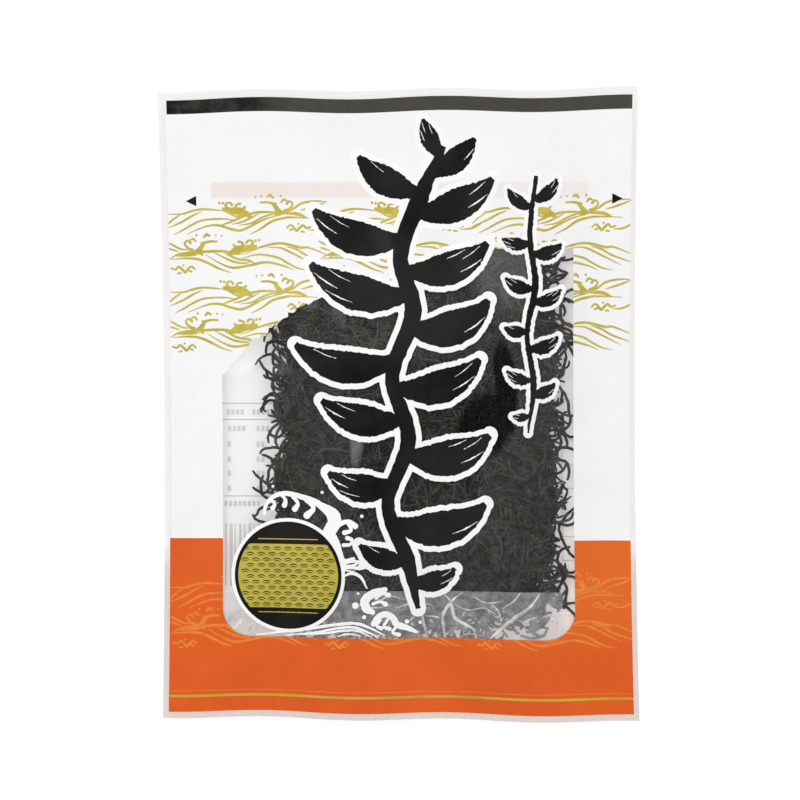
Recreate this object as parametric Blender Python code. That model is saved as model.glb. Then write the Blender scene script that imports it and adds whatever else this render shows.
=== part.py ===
"""A sealed flat pouch of dried hijiki, lying on its back.

Two webs of clear film are heat-sealed to each other all round and hold a heap of short, curled
strands of dried seaweed. The front web is printed in white, orange and black and leaves a clear
window over the heap. X runs across the pouch, Y up its face and Z up from the table. The origin
is under the middle of the pouch, where its back rests. Sizes here are in millimetres.
"""

import math
import random

import bmesh
import bpy
from mathutils import Vector
from mathutils.geometry import delaunay_2d_cdt

MM = 0.001

# Film: the pouch laid flat, and how thick each web is
WIDTH = 136.0
LENGTH = 179.0
FILM = 0.5
SEAL_GAP = 0.3
THICKNESS = 14.0
SIDE_SEAL = 6.0
TOP_SEAL = 10.5
BOTTOM_SEAL = 18.5
CORNER_SHIFT = {(-1, 1): (-0.45, -0.5), (1, 1): (0.05, 0.5), (-1, -1): (1.15, 0.9), (1, -1): (0.45, -0.8)}
SIDE_BOW = 1.1
END_WAVE = 0.45

# Seam: how high the sealed border stands above the table
SEAM_HEIGHT = 3.2
SEAM_WAVE = 0.8

# Filled part: where each web leaves the seal, and where it reaches the heap
FRONT_REACH = {"left": 52.0, "right": 42.0, "bottom": 36.0, "top": 72.0}
BACK_REACH = {"left": 28.0, "right": 24.0, "bottom": 22.0, "top": 42.0}
PUCKER = 0.45
LUMP = 0.3

# Print: the borders that the grid of the front web follows
PRINT_MARGIN = 3.0
PRINT_BOTTOM = 3.3
BAND_TOP = 2.3
BAND_HEIGHT = 4.0
ORANGE_TOP = -38.6
WINDOW_HALF = 50.3
WINDOW_BOTTOM = -66.5
WINDOW_TOP_LEFT = 10.0
WINDOW_TOP_RIGHT = 44.0
GRID_STEP = 9.2

# Heap: its middle, its half sizes and the strands that it is made of
HEAP_X = 4.0
HEAP_Y = -5.0
HEAP_HALF_X = 41.0
HEAP_HALF_Y = 57.0
HEAP_SQUARENESS = 4.5
CLEARANCE = 0.75
EDGE_SHARE = 0.16
RIM_POINTS = 48
BASE_COLUMNS = 15
BASE_ROWS = 20
BASE_CLEAR = 2.5
BASE_RELIEF = (1.3, 3.2)
STRAND_LENGTH = (8.0, 18.0)
STRAND_CURL = (0.5, 2.6)
STRAND_STEPS = 3
STRAND_HALF_WIDTH = 1.35
STRAND_SPACING = 2.7
STRAND_RELIEF = 2.2
CREST_DEPTH = 0.7
END_SHARE = 0.6
END_INSET = 0.12
FRONT_TRIES = 40000
BACK_TRIES = 4000
OVER_TRIES = 600
OVER_SPACING = 5.0
FRINGE_STRANDS = 36
TUBE_RADIUS = 1.3
TUBE_SIDES = 3
SEED = 11

COLOURS = {
    "clear_film": ((0.86, 0.88, 0.88), 0.12, 0.22),
    "white_print": ((0.91, 0.91, 0.91), 0.3, 1.0),
    "orange_print": ((0.74, 0.13, 0.024), 0.3, 1.0),
    "black_print": ((0.02, 0.02, 0.018), 0.3, 1.0),
    "dried_seaweed": ((0.022, 0.02, 0.016), 0.62, 1.0),
}


def clear_scene():
    for old in list(bpy.data.objects):
        bpy.data.objects.remove(old, do_unlink=True)


def material(name):
    """A plain finish: base colour, roughness and how solid it looks."""
    colour, roughness, alpha = COLOURS[name]
    made = bpy.data.materials.new(name)
    made.use_nodes = True
    shader = made.node_tree.nodes["Principled BSDF"]
    shader.inputs["Base Color"].default_value = (*colour, 1.0)
    shader.inputs["Roughness"].default_value = roughness
    shader.inputs["Metallic"].default_value = 0.0
    shader.inputs["Alpha"].default_value = alpha
    made.diffuse_color = (*colour, alpha)
    return made


def ease(t):
    """0 to 1 with a level start and a level end."""
    t = min(1.0, max(0.0, t))
    return t * t * (3.0 - 2.0 * t)


def outline(x, y):
    """Where a point of the flat film lies in plan once the filled pouch has pulled its edges in."""
    u, v = x / (WIDTH / 2), y / (LENGTH / 2)
    shift_x = shift_y = 0.0
    for (side, end), (dx, dy) in CORNER_SHIFT.items():
        share = (1 + side * u) * (1 + end * v) / 4
        shift_x += share * dx
        shift_y += share * dy
    bow = -SIDE_BOW * u * (1 - v * v)
    wave = END_WAVE * v * v * math.sin(2.6 * u * math.pi)
    return x + shift_x + bow, y + shift_y + wave


def seam(x, y):
    """Height of the middle of the sealed border above the table."""
    return (
        SEAM_HEIGHT
        + SEAM_WAVE * math.sin(0.050 * y + 0.7) * math.cos(0.023 * x)
        - 0.5 * SEAM_WAVE * math.sin(0.045 * x - 0.4)
    )


def rises(x, y, reach):
    """How far a web has risen across and along the pouch: 0 at the seals, 1 over the heap."""
    left = (x + WIDTH / 2 - SIDE_SEAL) / reach["left"]
    right = (WIDTH / 2 - SIDE_SEAL - x) / reach["right"]
    bottom = (y + LENGTH / 2 - BOTTOM_SEAL) / reach["bottom"]
    top = (LENGTH / 2 - TOP_SEAL - y) / reach["top"]
    return ease(left) * ease(right), ease(bottom) * ease(top)


def front_outer(x, y):
    """Height of the outside of the front web."""
    across, along = rises(x, y, FRONT_REACH)
    filled = across * along
    sealed = seam(x, y) + SEAL_GAP / 2 + FILM
    crown = THICKNESS - LUMP
    side_folds = 4 * across * (1 - across) * along * math.sin(2 * math.pi * y / 23 + 0.5)
    end_folds = 4 * along * (1 - along) * across * math.sin(2 * math.pi * x / 26 + 1.1)
    lumps = filled * math.sin(2 * math.pi * x / 47 + 0.4) * math.sin(2 * math.pi * y / 55 + 1.0)
    return sealed + (crown - sealed) * filled + PUCKER * (side_folds + end_folds) + LUMP * lumps


def front_inner(x, y):
    return front_outer(x, y) - FILM


def back_outer(x, y):
    """Height of the underside of the back web, which lies flat on the table under the heap."""
    across, along = rises(x, y, BACK_REACH)
    return (seam(x, y) - SEAL_GAP / 2 - FILM) * (1 - across * along)


def back_inner(x, y):
    return back_outer(x, y) + FILM


def filled_stops(stops):
    """The given stops with evenly spaced lines between them, none further apart than the grid's step."""
    lines = [stops[0]]
    for start, end in zip(stops, stops[1:]):
        pieces = max(1, math.ceil((end - start) / GRID_STEP - 0.05))
        lines += [start + (end - start) * n / pieces for n in range(1, pieces + 1)]
    return lines


def grid_lines():
    """Columns and rows of both webs, on the borders of the seals, the print and the window."""
    half_w, half_l = WIDTH / 2, LENGTH / 2
    across = [-half_w, PRINT_MARGIN - half_w, -WINDOW_HALF, WINDOW_HALF, half_w - PRINT_MARGIN, half_w]
    along = [
        -half_l,
        PRINT_BOTTOM - half_l,
        BOTTOM_SEAL - half_l,
        WINDOW_BOTTOM,
        ORANGE_TOP,
        WINDOW_TOP_LEFT,
        WINDOW_TOP_RIGHT,
        half_l - TOP_SEAL,
        half_l - BAND_TOP - BAND_HEIGHT,
        half_l - BAND_TOP,
        half_l,
    ]
    return filled_stops(across), filled_stops(along)


def printed_as(x, y):
    """Material number of the front web at a point: clear, white, orange or black."""
    if abs(x) > WIDTH / 2 - PRINT_MARGIN or y < PRINT_BOTTOM - LENGTH / 2:
        return 0
    window_top = WINDOW_TOP_LEFT + (WINDOW_TOP_RIGHT - WINDOW_TOP_LEFT) * ease((x + WINDOW_HALF) / 60)
    if abs(x) < WINDOW_HALF and WINDOW_BOTTOM < y < window_top:
        return 0
    if LENGTH / 2 - BAND_TOP - BAND_HEIGHT < y < LENGTH / 2 - BAND_TOP:
        return 3
    return 2 if y < ORANGE_TOP else 1


def web(name, upper, lower, materials, printed=None):
    """One web of film: an upper and a lower sheet over the same grid, closed round the rim."""
    columns, rows = grid_lines()
    mesh = bmesh.new()
    sheets = []
    for height in (lower, upper):
        sheets.append(
            [[mesh.verts.new(Vector((*outline(x, y), height(x, y))) * MM) for x in columns] for y in rows]
        )
    below, above = sheets
    for j in range(len(rows) - 1):
        for i in range(len(columns) - 1):
            corners = ((j, i), (j, i + 1), (j + 1, i + 1), (j + 1, i))
            top = mesh.faces.new([above[a][b] for a, b in corners])
            mesh.faces.new([below[a][b] for a, b in reversed(corners)])
            if printed:
                x = (columns[i] + columns[i + 1]) / 2
                y = (rows[j] + rows[j + 1]) / 2
                top.material_index = printed(x, y)
    last_row, last_column = len(rows) - 1, len(columns) - 1
    rim = [(0, i) for i in range(last_column)]
    rim += [(j, last_column) for j in range(last_row)]
    rim += [(last_row, i) for i in range(last_column, 0, -1)]
    rim += [(j, 0) for j in range(last_row, 0, -1)]
    for (a, b), (c, d) in zip(rim, rim[1:] + rim[:1]):
        mesh.faces.new((below[a][b], below[c][d], above[c][d], above[a][b]))
    return link(name, mesh, materials)


def link(name, mesh, materials, smooth=True):
    data = bpy.data.meshes.new(name)
    mesh.to_mesh(data)
    mesh.free()
    for finish in materials:
        data.materials.append(finish)
    if smooth:
        data.shade_smooth()
        data.set_sharp_from_angle(angle=math.radians(40))
    made = bpy.data.objects.new(name, data)
    bpy.context.scene.collection.objects.link(made)
    return made


def ceiling(x, y):
    """The highest that the seaweed reaches under the front web."""
    return front_inner(x, y) - CLEARANCE


def ground(x, y):
    """The lowest that the seaweed reaches over the back web."""
    return back_inner(x, y) + CLEARANCE


def heap_edge(angle):
    """Distance from the heap's middle to its edge: a rounded rectangle with an uneven border."""
    c, s = abs(math.cos(angle)) / HEAP_HALF_X, abs(math.sin(angle)) / HEAP_HALF_Y
    reach = (c**HEAP_SQUARENESS + s**HEAP_SQUARENESS) ** (-1 / HEAP_SQUARENESS)
    return reach * (1 + 0.03 * math.sin(7 * angle + 0.6) + 0.02 * math.sin(11 * angle + 2.0))


def heap_point(a, b):
    """A point of the square from -1 to 1, moved onto the heap's plan."""
    size = max(abs(a), abs(b))
    angle = math.atan2(b * HEAP_HALF_Y, a * HEAP_HALF_X)
    reach = heap_edge(angle) * size
    return HEAP_X + reach * math.cos(angle), HEAP_Y + reach * math.sin(angle)


def heap_inset(x, y):
    """How far inside the heap's edge a point lies: 0 on the edge, 1 in the middle."""
    dx, dy = x - HEAP_X, y - HEAP_Y
    return 1 - math.hypot(dx, dy) / heap_edge(math.atan2(dy, dx))


def face_height(x, y, side, sunk):
    """Height of the heap's upper face (side 1) or lower face (side -1), sunk in by a depth.

    The two faces meet in a blunt, rounded edge.
    """
    inward = min(1.0, max(0.0, heap_inset(x, y) / EDGE_SHARE))
    rounding = math.sqrt(1 - (1 - inward) ** 2)
    roof, floor = ceiling(x, y), ground(x, y)
    half = max(0.4, (roof - floor) / 2 - sunk)
    return (roof + floor) / 2 + side * half * rounding


def strand_path(rng, x, y, heading):
    """Points in plan along one curled strand, with its middle near x, y."""
    step = rng.uniform(*STRAND_LENGTH) / STRAND_STEPS
    turn = rng.uniform(*STRAND_CURL) * rng.choice((-1, 1)) / STRAND_STEPS
    at = Vector((x, y)) - Vector((math.cos(heading), math.sin(heading))) * step * STRAND_STEPS / 2
    heading -= turn * (STRAND_STEPS - 1) / 2
    path = [at]
    for _ in range(STRAND_STEPS):
        at = at + step * Vector((math.cos(heading), math.sin(heading)))
        heading += turn
        path.append(at)
    return path


def sides_of(path):
    """Left and right edges of a strand in plan, drawn in at both ends."""
    left, right = [], []
    for n, point in enumerate(path):
        ahead = path[min(n + 1, STRAND_STEPS)] - path[max(n - 1, 0)]
        reach = STRAND_HALF_WIDTH * (END_SHARE if n in (0, STRAND_STEPS) else 1)
        across = Vector((-ahead.y, ahead.x)).normalized() * reach
        left.append(point + across)
        right.append(point - across)
    return left, right


def strand_layer(rng, tries, spacing):
    """Strands dropped at random on one face of the heap, each kept only if it lies beside the others."""
    paths, taken = [], []
    for _ in range(tries):
        x, y = heap_point(rng.uniform(-0.97, 0.97), rng.uniform(-0.98, 0.98))
        path = strand_path(rng, x, y, rng.uniform(0, 2 * math.pi))
        points = path + [p.lerp(q, 0.5) for p, q in zip(path, path[1:])]
        left, right = sides_of(path)
        inside = all(heap_inset(*point) > 0.02 for point in left + right)
        if inside and all((p - q).length > spacing for p in points for q in taken):
            paths.append(path)
            taken += points
    return paths


def heap_face(mesh, rim, rng, paths, side):
    """One face of the heap: a rough sheet out of which each strand rises with a sharp crest."""
    points = [Vector((vert.co.x, vert.co.y)) / MM for vert in rim]
    sunk = [0.0] * len(rim)
    edges = [(n, (n + 1) % len(rim)) for n in range(len(rim))]

    def add(spots, depth, closed):
        first, last = len(points), len(points) + len(spots) - 1
        points.extend(spots)
        sunk.extend([depth] * len(spots))
        edges.extend((n, n + 1) for n in range(first, last))
        if closed:
            edges.append((last, first))

    for path in paths:
        left, right = sides_of(path)
        add(left + right[::-1], STRAND_RELIEF, closed=True)
        ends = path[0].lerp(path[1], END_INSET), path[-1].lerp(path[-2], END_INSET)
        add([ends[0], *path[1:-1], ends[1]], CREST_DEPTH, closed=False)
    taken = [spot for path in paths for spot in path]
    for j in range(1, BASE_ROWS):
        for i in range(1, BASE_COLUMNS):
            spot = Vector(heap_point(2 * i / BASE_COLUMNS - 1, 2 * j / BASE_ROWS - 1))
            if all((spot - other).length > BASE_CLEAR for other in taken):
                add([spot], rng.uniform(*BASE_RELIEF), closed=False)
    flat, _, faces, origins, _, _ = delaunay_2d_cdt(points, edges, [], 1, 1e-4)
    verts = []
    for spot, origin in zip(flat, origins):
        known = min(origin, default=None)
        if known is not None and known < len(rim):
            verts.append(rim[known])
            continue
        depth = STRAND_RELIEF if known is None else sunk[known]
        verts.append(mesh.verts.new(Vector((*spot, face_height(*spot, side, depth))) * MM))
    for face in faces:
        mesh.faces.new([verts[n] for n in face[::side]])


def heap_body(rng):
    """The packed heap without its fringe: an upper and a lower face of strands that share one edge."""
    mesh = bmesh.new()
    rim = []
    for n in range(RIM_POINTS):
        angle = 2 * math.pi * n / RIM_POINTS
        x = HEAP_X + heap_edge(angle) * math.cos(angle)
        y = HEAP_Y + heap_edge(angle) * math.sin(angle)
        rim.append(mesh.verts.new(Vector((x, y, face_height(x, y, 1, 0))) * MM))
    heap_face(mesh, rim, rng, strand_layer(rng, FRONT_TRIES, STRAND_SPACING), 1)
    heap_face(mesh, rim, rng, strand_layer(rng, BACK_TRIES, STRAND_SPACING), -1)
    return mesh


def loose_strands(rng):
    """Strands in the round: some lie across the packed ones, and some curl out of the heap's edge.

    A strand that has no room between the two webs is left out.
    """
    plans = [(path, 1.0) for path in strand_layer(rng, OVER_TRIES, OVER_SPACING)]
    for n in range(FRINGE_STRANDS):
        angle = 2 * math.pi * (n + rng.uniform(-0.3, 0.3)) / FRINGE_STRANDS
        reach = heap_edge(angle) - rng.uniform(0.5, 3.5)
        x, y = HEAP_X + reach * math.cos(angle), HEAP_Y + reach * math.sin(angle)
        heading = angle + math.pi / 2 + rng.uniform(-0.9, 0.9)
        plans.append((strand_path(rng, x, y, heading), rng.uniform(0.3, 0.7)))
    paths = []
    for plan, level in plans:
        rooms = [(ground(x, y) + TUBE_RADIUS, ceiling(x, y) - TUBE_RADIUS) for x, y in plan]
        if all(roof > floor for floor, roof in rooms):
            path = [(x, y, floor + (roof - floor) * level) for (x, y), (floor, roof) in zip(plan, rooms)]
            paths.append([Vector(point) for point in path])
    return paths


def strand(path):
    """A tapering tube along the path, closed at both ends."""
    mesh = bmesh.new()
    rings = []
    for n, point in enumerate(path):
        ahead = path[min(n + 1, STRAND_STEPS)] - path[max(n - 1, 0)]
        side = Vector((-ahead.y, ahead.x, 0)).normalized()
        up = ahead.cross(side).normalized()
        up = up if up.z > 0 else -up
        radius = TUBE_RADIUS * (END_SHARE if n in (0, STRAND_STEPS) else 1)
        ring = []
        for k in range(TUBE_SIDES):
            angle = 2 * math.pi * k / TUBE_SIDES + math.pi / 2
            around = side * math.cos(angle) + up * math.sin(angle)
            ring.append(mesh.verts.new((point + around * radius) * MM))
        rings.append(ring)
    for first, second in zip(rings, rings[1:]):
        for k in range(TUBE_SIDES):
            after = (k + 1) % TUBE_SIDES
            mesh.faces.new((first[k], first[after], second[after], second[k]))
    mesh.faces.new(rings[0])
    mesh.faces.new(rings[-1])
    bmesh.ops.recalc_face_normals(mesh, faces=mesh.faces)
    return mesh


def hijiki_heap(materials):
    """The packed heap with its loose strands joined to it in one body."""
    rng = random.Random(SEED)
    heap = link("hijiki_heap", heap_body(rng), materials, smooth=False)
    strands = bpy.data.collections.new("strands")
    bpy.context.scene.collection.children.link(strands)
    for n, path in enumerate(loose_strands(rng)):
        data = bpy.data.meshes.new(f"strand_{n}")
        mesh = strand(path)
        mesh.to_mesh(data)
        mesh.free()
        strands.objects.link(bpy.data.objects.new(data.name, data))
    union = heap.modifiers.new("strands", "BOOLEAN")
    union.operation = "UNION"
    union.operand_type = "COLLECTION"
    union.collection = strands
    apply_modifiers(heap)
    for spare in list(strands.objects):
        bpy.data.objects.remove(spare, do_unlink=True)
    bpy.data.collections.remove(strands)
    keep_outer_skin(heap)
    return heap


def apply_modifiers(made):
    graph = bpy.context.evaluated_depsgraph_get()
    finished = bpy.data.meshes.new_from_object(made.evaluated_get(graph))
    made.modifiers.clear()
    made.data = finished


def keep_outer_skin(made):
    """Fills the hollows that crossing strands seal in, and drops loose scraps: only the largest skin stays."""
    mesh = bmesh.new()
    mesh.from_mesh(made.data)
    waiting = set(mesh.faces)
    skins = []
    while waiting:
        reached = [waiting.pop()]
        for face in reached:
            for edge in face.edges:
                for other in edge.link_faces:
                    if other in waiting:
                        waiting.remove(other)
                        reached.append(other)
        skins.append(reached)
    skins.sort(key=len)
    bmesh.ops.delete(mesh, geom=[face for skin in skins[:-1] for face in skin], context="FACES")
    mesh.to_mesh(made.data)
    mesh.free()


def main():
    clear_scene()
    clear = material("clear_film")
    inks = [clear, material("white_print"), material("orange_print"), material("black_print")]
    web("film_front", front_outer, front_inner, inks, printed_as)
    web("film_back", back_inner, back_outer, [clear])
    hijiki_heap([material("dried_seaweed")])


main()
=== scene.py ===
"""A sealed flat pouch of dried hijiki, lying on its back on a pale table, seen from straight above."""

import math

import bpy
import numpy as np
from mathutils.geometry import delaunay_2d_cdt
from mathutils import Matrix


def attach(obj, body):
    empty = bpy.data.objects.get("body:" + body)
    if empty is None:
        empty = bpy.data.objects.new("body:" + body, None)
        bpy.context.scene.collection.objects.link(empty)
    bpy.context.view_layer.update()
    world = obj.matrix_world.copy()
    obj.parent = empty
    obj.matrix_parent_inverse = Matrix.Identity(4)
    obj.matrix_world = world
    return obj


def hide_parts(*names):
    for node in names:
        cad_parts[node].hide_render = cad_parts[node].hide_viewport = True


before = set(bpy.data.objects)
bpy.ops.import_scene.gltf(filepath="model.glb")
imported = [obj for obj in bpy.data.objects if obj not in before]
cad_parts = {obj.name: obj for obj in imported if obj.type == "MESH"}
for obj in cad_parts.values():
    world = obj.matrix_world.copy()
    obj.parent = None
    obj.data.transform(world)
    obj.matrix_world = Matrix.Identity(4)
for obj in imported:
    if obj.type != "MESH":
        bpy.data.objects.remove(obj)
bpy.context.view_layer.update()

# Camera: straight down from far off, as a flat packet is usually photographed, so that its raised
# middle looks hardly larger than its seals. Lengths in this file are in millimetres.
MM = 0.001
TABLE_IN_VIEW = 227.6
LENS = 300.0
SENSOR = 36.0
VIEW_MIDDLE = (0.45, 1.28)

lens = bpy.data.cameras.new("packshot")
lens.lens = LENS
lens.sensor_width = SENSOR
camera = bpy.data.objects.new("packshot", lens)
camera.location = (VIEW_MIDDLE[0] * MM, VIEW_MIDDLE[1] * MM, TABLE_IN_VIEW * LENS / SENSOR * MM)
bpy.context.scene.collection.objects.link(camera)
bpy.context.scene.camera = camera
bpy.context.scene.view_settings.view_transform = "Standard"


# Studio: a white tent of light with a darker opening round the lens, which is what the level
# stretches of film mirror. Every slope of the film mirrors the bright walls instead.
WHITE = (1.0, 1.0, 1.0, 1.0)
TENT_LIGHT = 0.93
OPENING_LIGHT = 0.12
OPENING_EDGE = (0.986, 0.9985)
SOFTBOX_PLACE = (-550.0, 620.0, 950.0)
SOFTBOX_SIDE = 500.0
SOFTBOX_POWER = 4.0


class Value:
    """A node's output that takes part in arithmetic: each operator adds a Math node."""

    def __init__(self, nodes, socket):
        self.nodes = nodes
        self.socket = socket

    def math(self, operation, first, second=0.0):
        return self.nodes.node("ShaderNodeMath", {"operation": operation}, {0: first, 1: second})

    def __add__(self, other):
        return self.math("ADD", self, other)

    def __sub__(self, other):
        return self.math("SUBTRACT", self, other)

    def __rsub__(self, other):
        return self.math("SUBTRACT", other, self)

    def __mul__(self, other):
        return self.math("MULTIPLY", self, other)

    def __truediv__(self, other):
        return self.math("DIVIDE", self, other)

    def __pow__(self, other):
        return self.math("POWER", self, other)

    __radd__ = __add__
    __rmul__ = __mul__


class Nodes:
    """A node tree that is being filled."""

    def __init__(self, tree):
        self.tree = tree

    def node(self, kind, settings=None, sockets=None, output=0):
        """Adds one node: its settings first, then the values or links of its sockets."""
        made = self.tree.nodes.new(kind)
        for name, value in (settings or {}).items():
            if name == "stops":
                ramp = made.color_ramp
                ramp.elements.remove(ramp.elements[1])
                ramp.elements[0].position, ramp.elements[0].color = value[0]
                for place, colour in value[1:]:
                    ramp.elements.new(place).color = colour
            else:
                setattr(made, name, value)
        for name, value in (sockets or {}).items():
            if isinstance(value, Value):
                self.tree.links.new(value.socket, made.inputs[name])
            else:
                made.inputs[name].default_value = value
        return Value(self, made.outputs[output]) if made.outputs else made

    def place(self, axis=None):
        """Where a point of the piece is, in metres: the whole vector, or one axis of it."""
        where = self.node("ShaderNodeTexCoord", output="Object")
        return where if axis is None else self.node("ShaderNodeSeparateXYZ", {}, {0: where}, axis)

    def noise(self, size, detail=2.0, stretch=(1.0, 1.0, 1.0)):
        """Soft noise from 0 to 1 with features of a size in millimetres."""
        scale = tuple(share / (size * MM) for share in stretch)
        where = self.node("ShaderNodeMapping", {}, {"Vector": self.place(), "Scale": scale})
        return self.node("ShaderNodeTexNoise", {}, {"Vector": where, "Scale": 1.0, "Detail": detail})

    def ease(self, value, start, end, low=0.0, high=1.0):
        """A smooth step of a value from low at start to high at end."""
        names = ("Value", "From Min", "From Max", "To Min", "To Max")
        sockets = dict(zip(names, (value, start, end, low, high)))
        return self.node("ShaderNodeMapRange", {"interpolation_type": "SMOOTHSTEP"}, sockets)

    def mix(self, factor, first, second):
        """Mixes two colours."""
        return self.node("ShaderNodeMix", {"data_type": "RGBA"}, {0: factor, 6: first, 7: second}, 2)

    def oval(self, middle_x, middle_y, length, width, heading, ragged=0.0):
        """Grows from 0 at the middle of an oval to 1 at its rim, from its half length and half width."""
        c, s = math.cos(math.radians(heading)), math.sin(math.radians(heading))
        right, up = self.place("X") - middle_x * MM, self.place("Y") - middle_y * MM
        ahead = (right * c + up * s) / (length * MM)
        aside = (up * c - right * s) / (width * MM)
        return ahead * ahead + aside * aside + ragged

    def bump(self, height, depth, strength=1.0):
        """A normal from a height of 0 to 1 that stands for a depth in millimetres."""
        sockets = {"Height": height, "Distance": depth * MM, "Strength": strength}
        return self.node("ShaderNodeBump", {}, sockets)

    def vector(self, x=0.0, y=0.0, z=0.0):
        return self.node("ShaderNodeCombineXYZ", {}, {0: x, 1: y, 2: z})

    def surface(self, shader):
        """Makes a shader the surface of the material."""
        self.node("ShaderNodeOutputMaterial", {}, {"Surface": shader})


world = bpy.data.worlds.new("light_tent")
bpy.context.scene.world = world
world.use_nodes = True
world.node_tree.nodes.clear()
tent = Nodes(world.node_tree)
direction = tent.node("ShaderNodeTexCoord", output="Generated")
upward = tent.node("ShaderNodeSeparateXYZ", {}, {0: direction}, "Z")
brightness = tent.ease(upward, *OPENING_EDGE, TENT_LIGHT, OPENING_LIGHT)
glow = tent.node("ShaderNodeBackground", {}, {"Color": WHITE, "Strength": brightness})
tent.node("ShaderNodeOutputWorld", {}, {"Surface": glow})

softbox_data = bpy.data.lights.new("softbox", "AREA")
softbox_data.energy = SOFTBOX_POWER
softbox_data.size = SOFTBOX_SIDE * MM
softbox = bpy.data.objects.new("softbox", softbox_data)
softbox.location = [distance * MM for distance in SOFTBOX_PLACE]
softbox.rotation_mode = "QUATERNION"
softbox.rotation_quaternion = softbox.location.to_track_quat("Z", "Y")
bpy.context.scene.collection.objects.link(softbox)


# Table: a plain pale board, far larger than the picture. It glows as a light table does, so that the
# pouch throws only a soft shadow on it.
BOARD_HALF = 1600.0
BOARD_FACES = (-20.0, -0.02)
BOARD_PAINT = ((0.18, 0.18, 0.18, 1.0), (0.19, 0.19, 0.19, 1.0))
BOARD_GLOW = 0.84
SHARP = math.radians(40)


def new_material(name):
    made = bpy.data.materials.new(name)
    made.use_nodes = True
    made.node_tree.nodes.clear()
    return made, Nodes(made.node_tree)


def put(name, mesh):
    """An object at the origin that holds a mesh."""
    made = bpy.data.objects.new(name, mesh)
    bpy.context.scene.collection.objects.link(made)
    return made


def new_piece(name, verts, faces, material, smooth=True):
    """An object at the origin from points in millimetres, with its rims left sharp."""
    mesh = bpy.data.meshes.new(name)
    faces = faces.tolist() if isinstance(faces, np.ndarray) else faces
    mesh.from_pydata((np.asarray(verts, float) * MM).tolist(), [], faces)
    mesh.materials.append(material)
    mesh.polygons.foreach_set("use_smooth", [smooth] * len(mesh.polygons))
    mesh.update()
    if smooth:
        mesh.set_sharp_from_angle(angle=SHARP)
    return put(name, mesh)


board_paint, nodes = new_material("board_paint")
tone = nodes.mix(nodes.noise(40.0, 3.0), *BOARD_PAINT)
finish = {"Base Color": tone, "Roughness": 0.85, "Emission Color": WHITE, "Emission Strength": BOARD_GLOW}
nodes.surface(nodes.node("ShaderNodeBsdfPrincipled", {}, finish))

corners = [(x * BOARD_HALF, y * BOARD_HALF) for x, y in ((-1, -1), (1, -1), (1, 1), (-1, 1))]
board_points = [(x, y, z) for z in BOARD_FACES for x, y in corners]
board_faces = [(3, 2, 1, 0), (4, 5, 6, 7), (0, 1, 5, 4), (1, 2, 6, 5), (2, 3, 7, 6), (3, 0, 4, 7)]
board = new_piece("board", board_points, board_faces, board_paint, smooth=False)


# Film: two webs heat-sealed to each other all round. Its shape is that of the two solids of film:
# flat on the table under the heap, domed above it, with slack folds where it leaves the seals.
WIDTH = 136.0
LENGTH = 179.0
SOLID_FILM = 0.5
SEAL_GAP = 0.3
THICKNESS = 14.0
SIDE_SEAL = 6.0
TOP_SEAL = 10.5
BOTTOM_SEAL = 18.5
CORNER_SHIFT = {(-1, 1): (-0.45, -0.5), (1, 1): (0.05, 0.5), (-1, -1): (1.15, 0.9), (1, -1): (0.45, -0.8)}
SIDE_BOW = 1.1
END_WAVE = 0.45
SEAM_HEIGHT = 3.2
SEAM_WAVE = 0.8
BACK_LIFT = 0.03
FRONT_REACH = {"left": 52.0, "right": 42.0, "bottom": 36.0, "top": 72.0}
BACK_REACH = {"left": 28.0, "right": 24.0, "bottom": 22.0, "top": 42.0}
PUCKER = 0.45
LUMP = 0.3
SIDE_FOLDS = (23.0, 0.5)
END_FOLDS = (26.0, 1.1)
LUMPS = ((47.0, 0.4), (55.0, 1.0))
FILM = 0.06
FILM_DEPTH = 0.4
FILLED_RIPPLE = 0.02
SLACK_RIPPLE = 0.06
BACK_RIPPLE = 0.06
GRID = 1.45
RIB_PITCH = 0.85
RIB_DEPTH = 0.05
RIB_FADE = 0.8
ROWS_PER_RIB = 5
RIBBED = (-81.2, -71.3)

# Ovals of the film, each with its middle, its half length and half width and its heading: where it
# clings to the seaweed, and where a painted sheen makes it milky, with how milky it is there.
CLINGING = ((24.8, -5.5, 11.0, 8.5, 70.0), (30.2, 6.5, 14.0, 3.4, 97.0))
PAINTED_SHEEN = (
    (-11.8, -9.0, 9.5, 2.3, 86.0, 0.07),
    (-17.5, 28.0, 8.0, 1.8, 110.0, 0.03),
    (31.0, 40.0, 16.0, 11.0, 85.0, 0.034),
    (44.5, 3.0, 26.0, 5.0, 90.0, 0.006),
)
CLINGING_DULLS = 0.85


def soft_step(t):
    t = np.clip(t, 0.0, 1.0)
    return t * t * (3.0 - 2.0 * t)


def wave(distance, pitch, phase=0.0):
    return np.sin(2 * np.pi * distance / pitch + phase)


def outline(x, y):
    """Where a point of the flat film lies in plan."""
    u, v = x / (WIDTH / 2), y / (LENGTH / 2)
    shift_x = shift_y = 0.0
    for (side, end), (dx, dy) in CORNER_SHIFT.items():
        share = (1 + side * u) * (1 + end * v) / 4
        shift_x = shift_x + share * dx
        shift_y = shift_y + share * dy
    bow = -SIDE_BOW * u * (1 - v * v)
    return x + shift_x + bow, y + shift_y + END_WAVE * v * v * np.sin(2.6 * u * np.pi)


def seam(x, y):
    """Height of the middle of the sealed border."""
    rocking = SEAM_WAVE * np.sin(0.050 * y + 0.7) * np.cos(0.023 * x)
    return SEAM_HEIGHT + rocking - 0.5 * SEAM_WAVE * np.sin(0.045 * x - 0.4)


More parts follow.
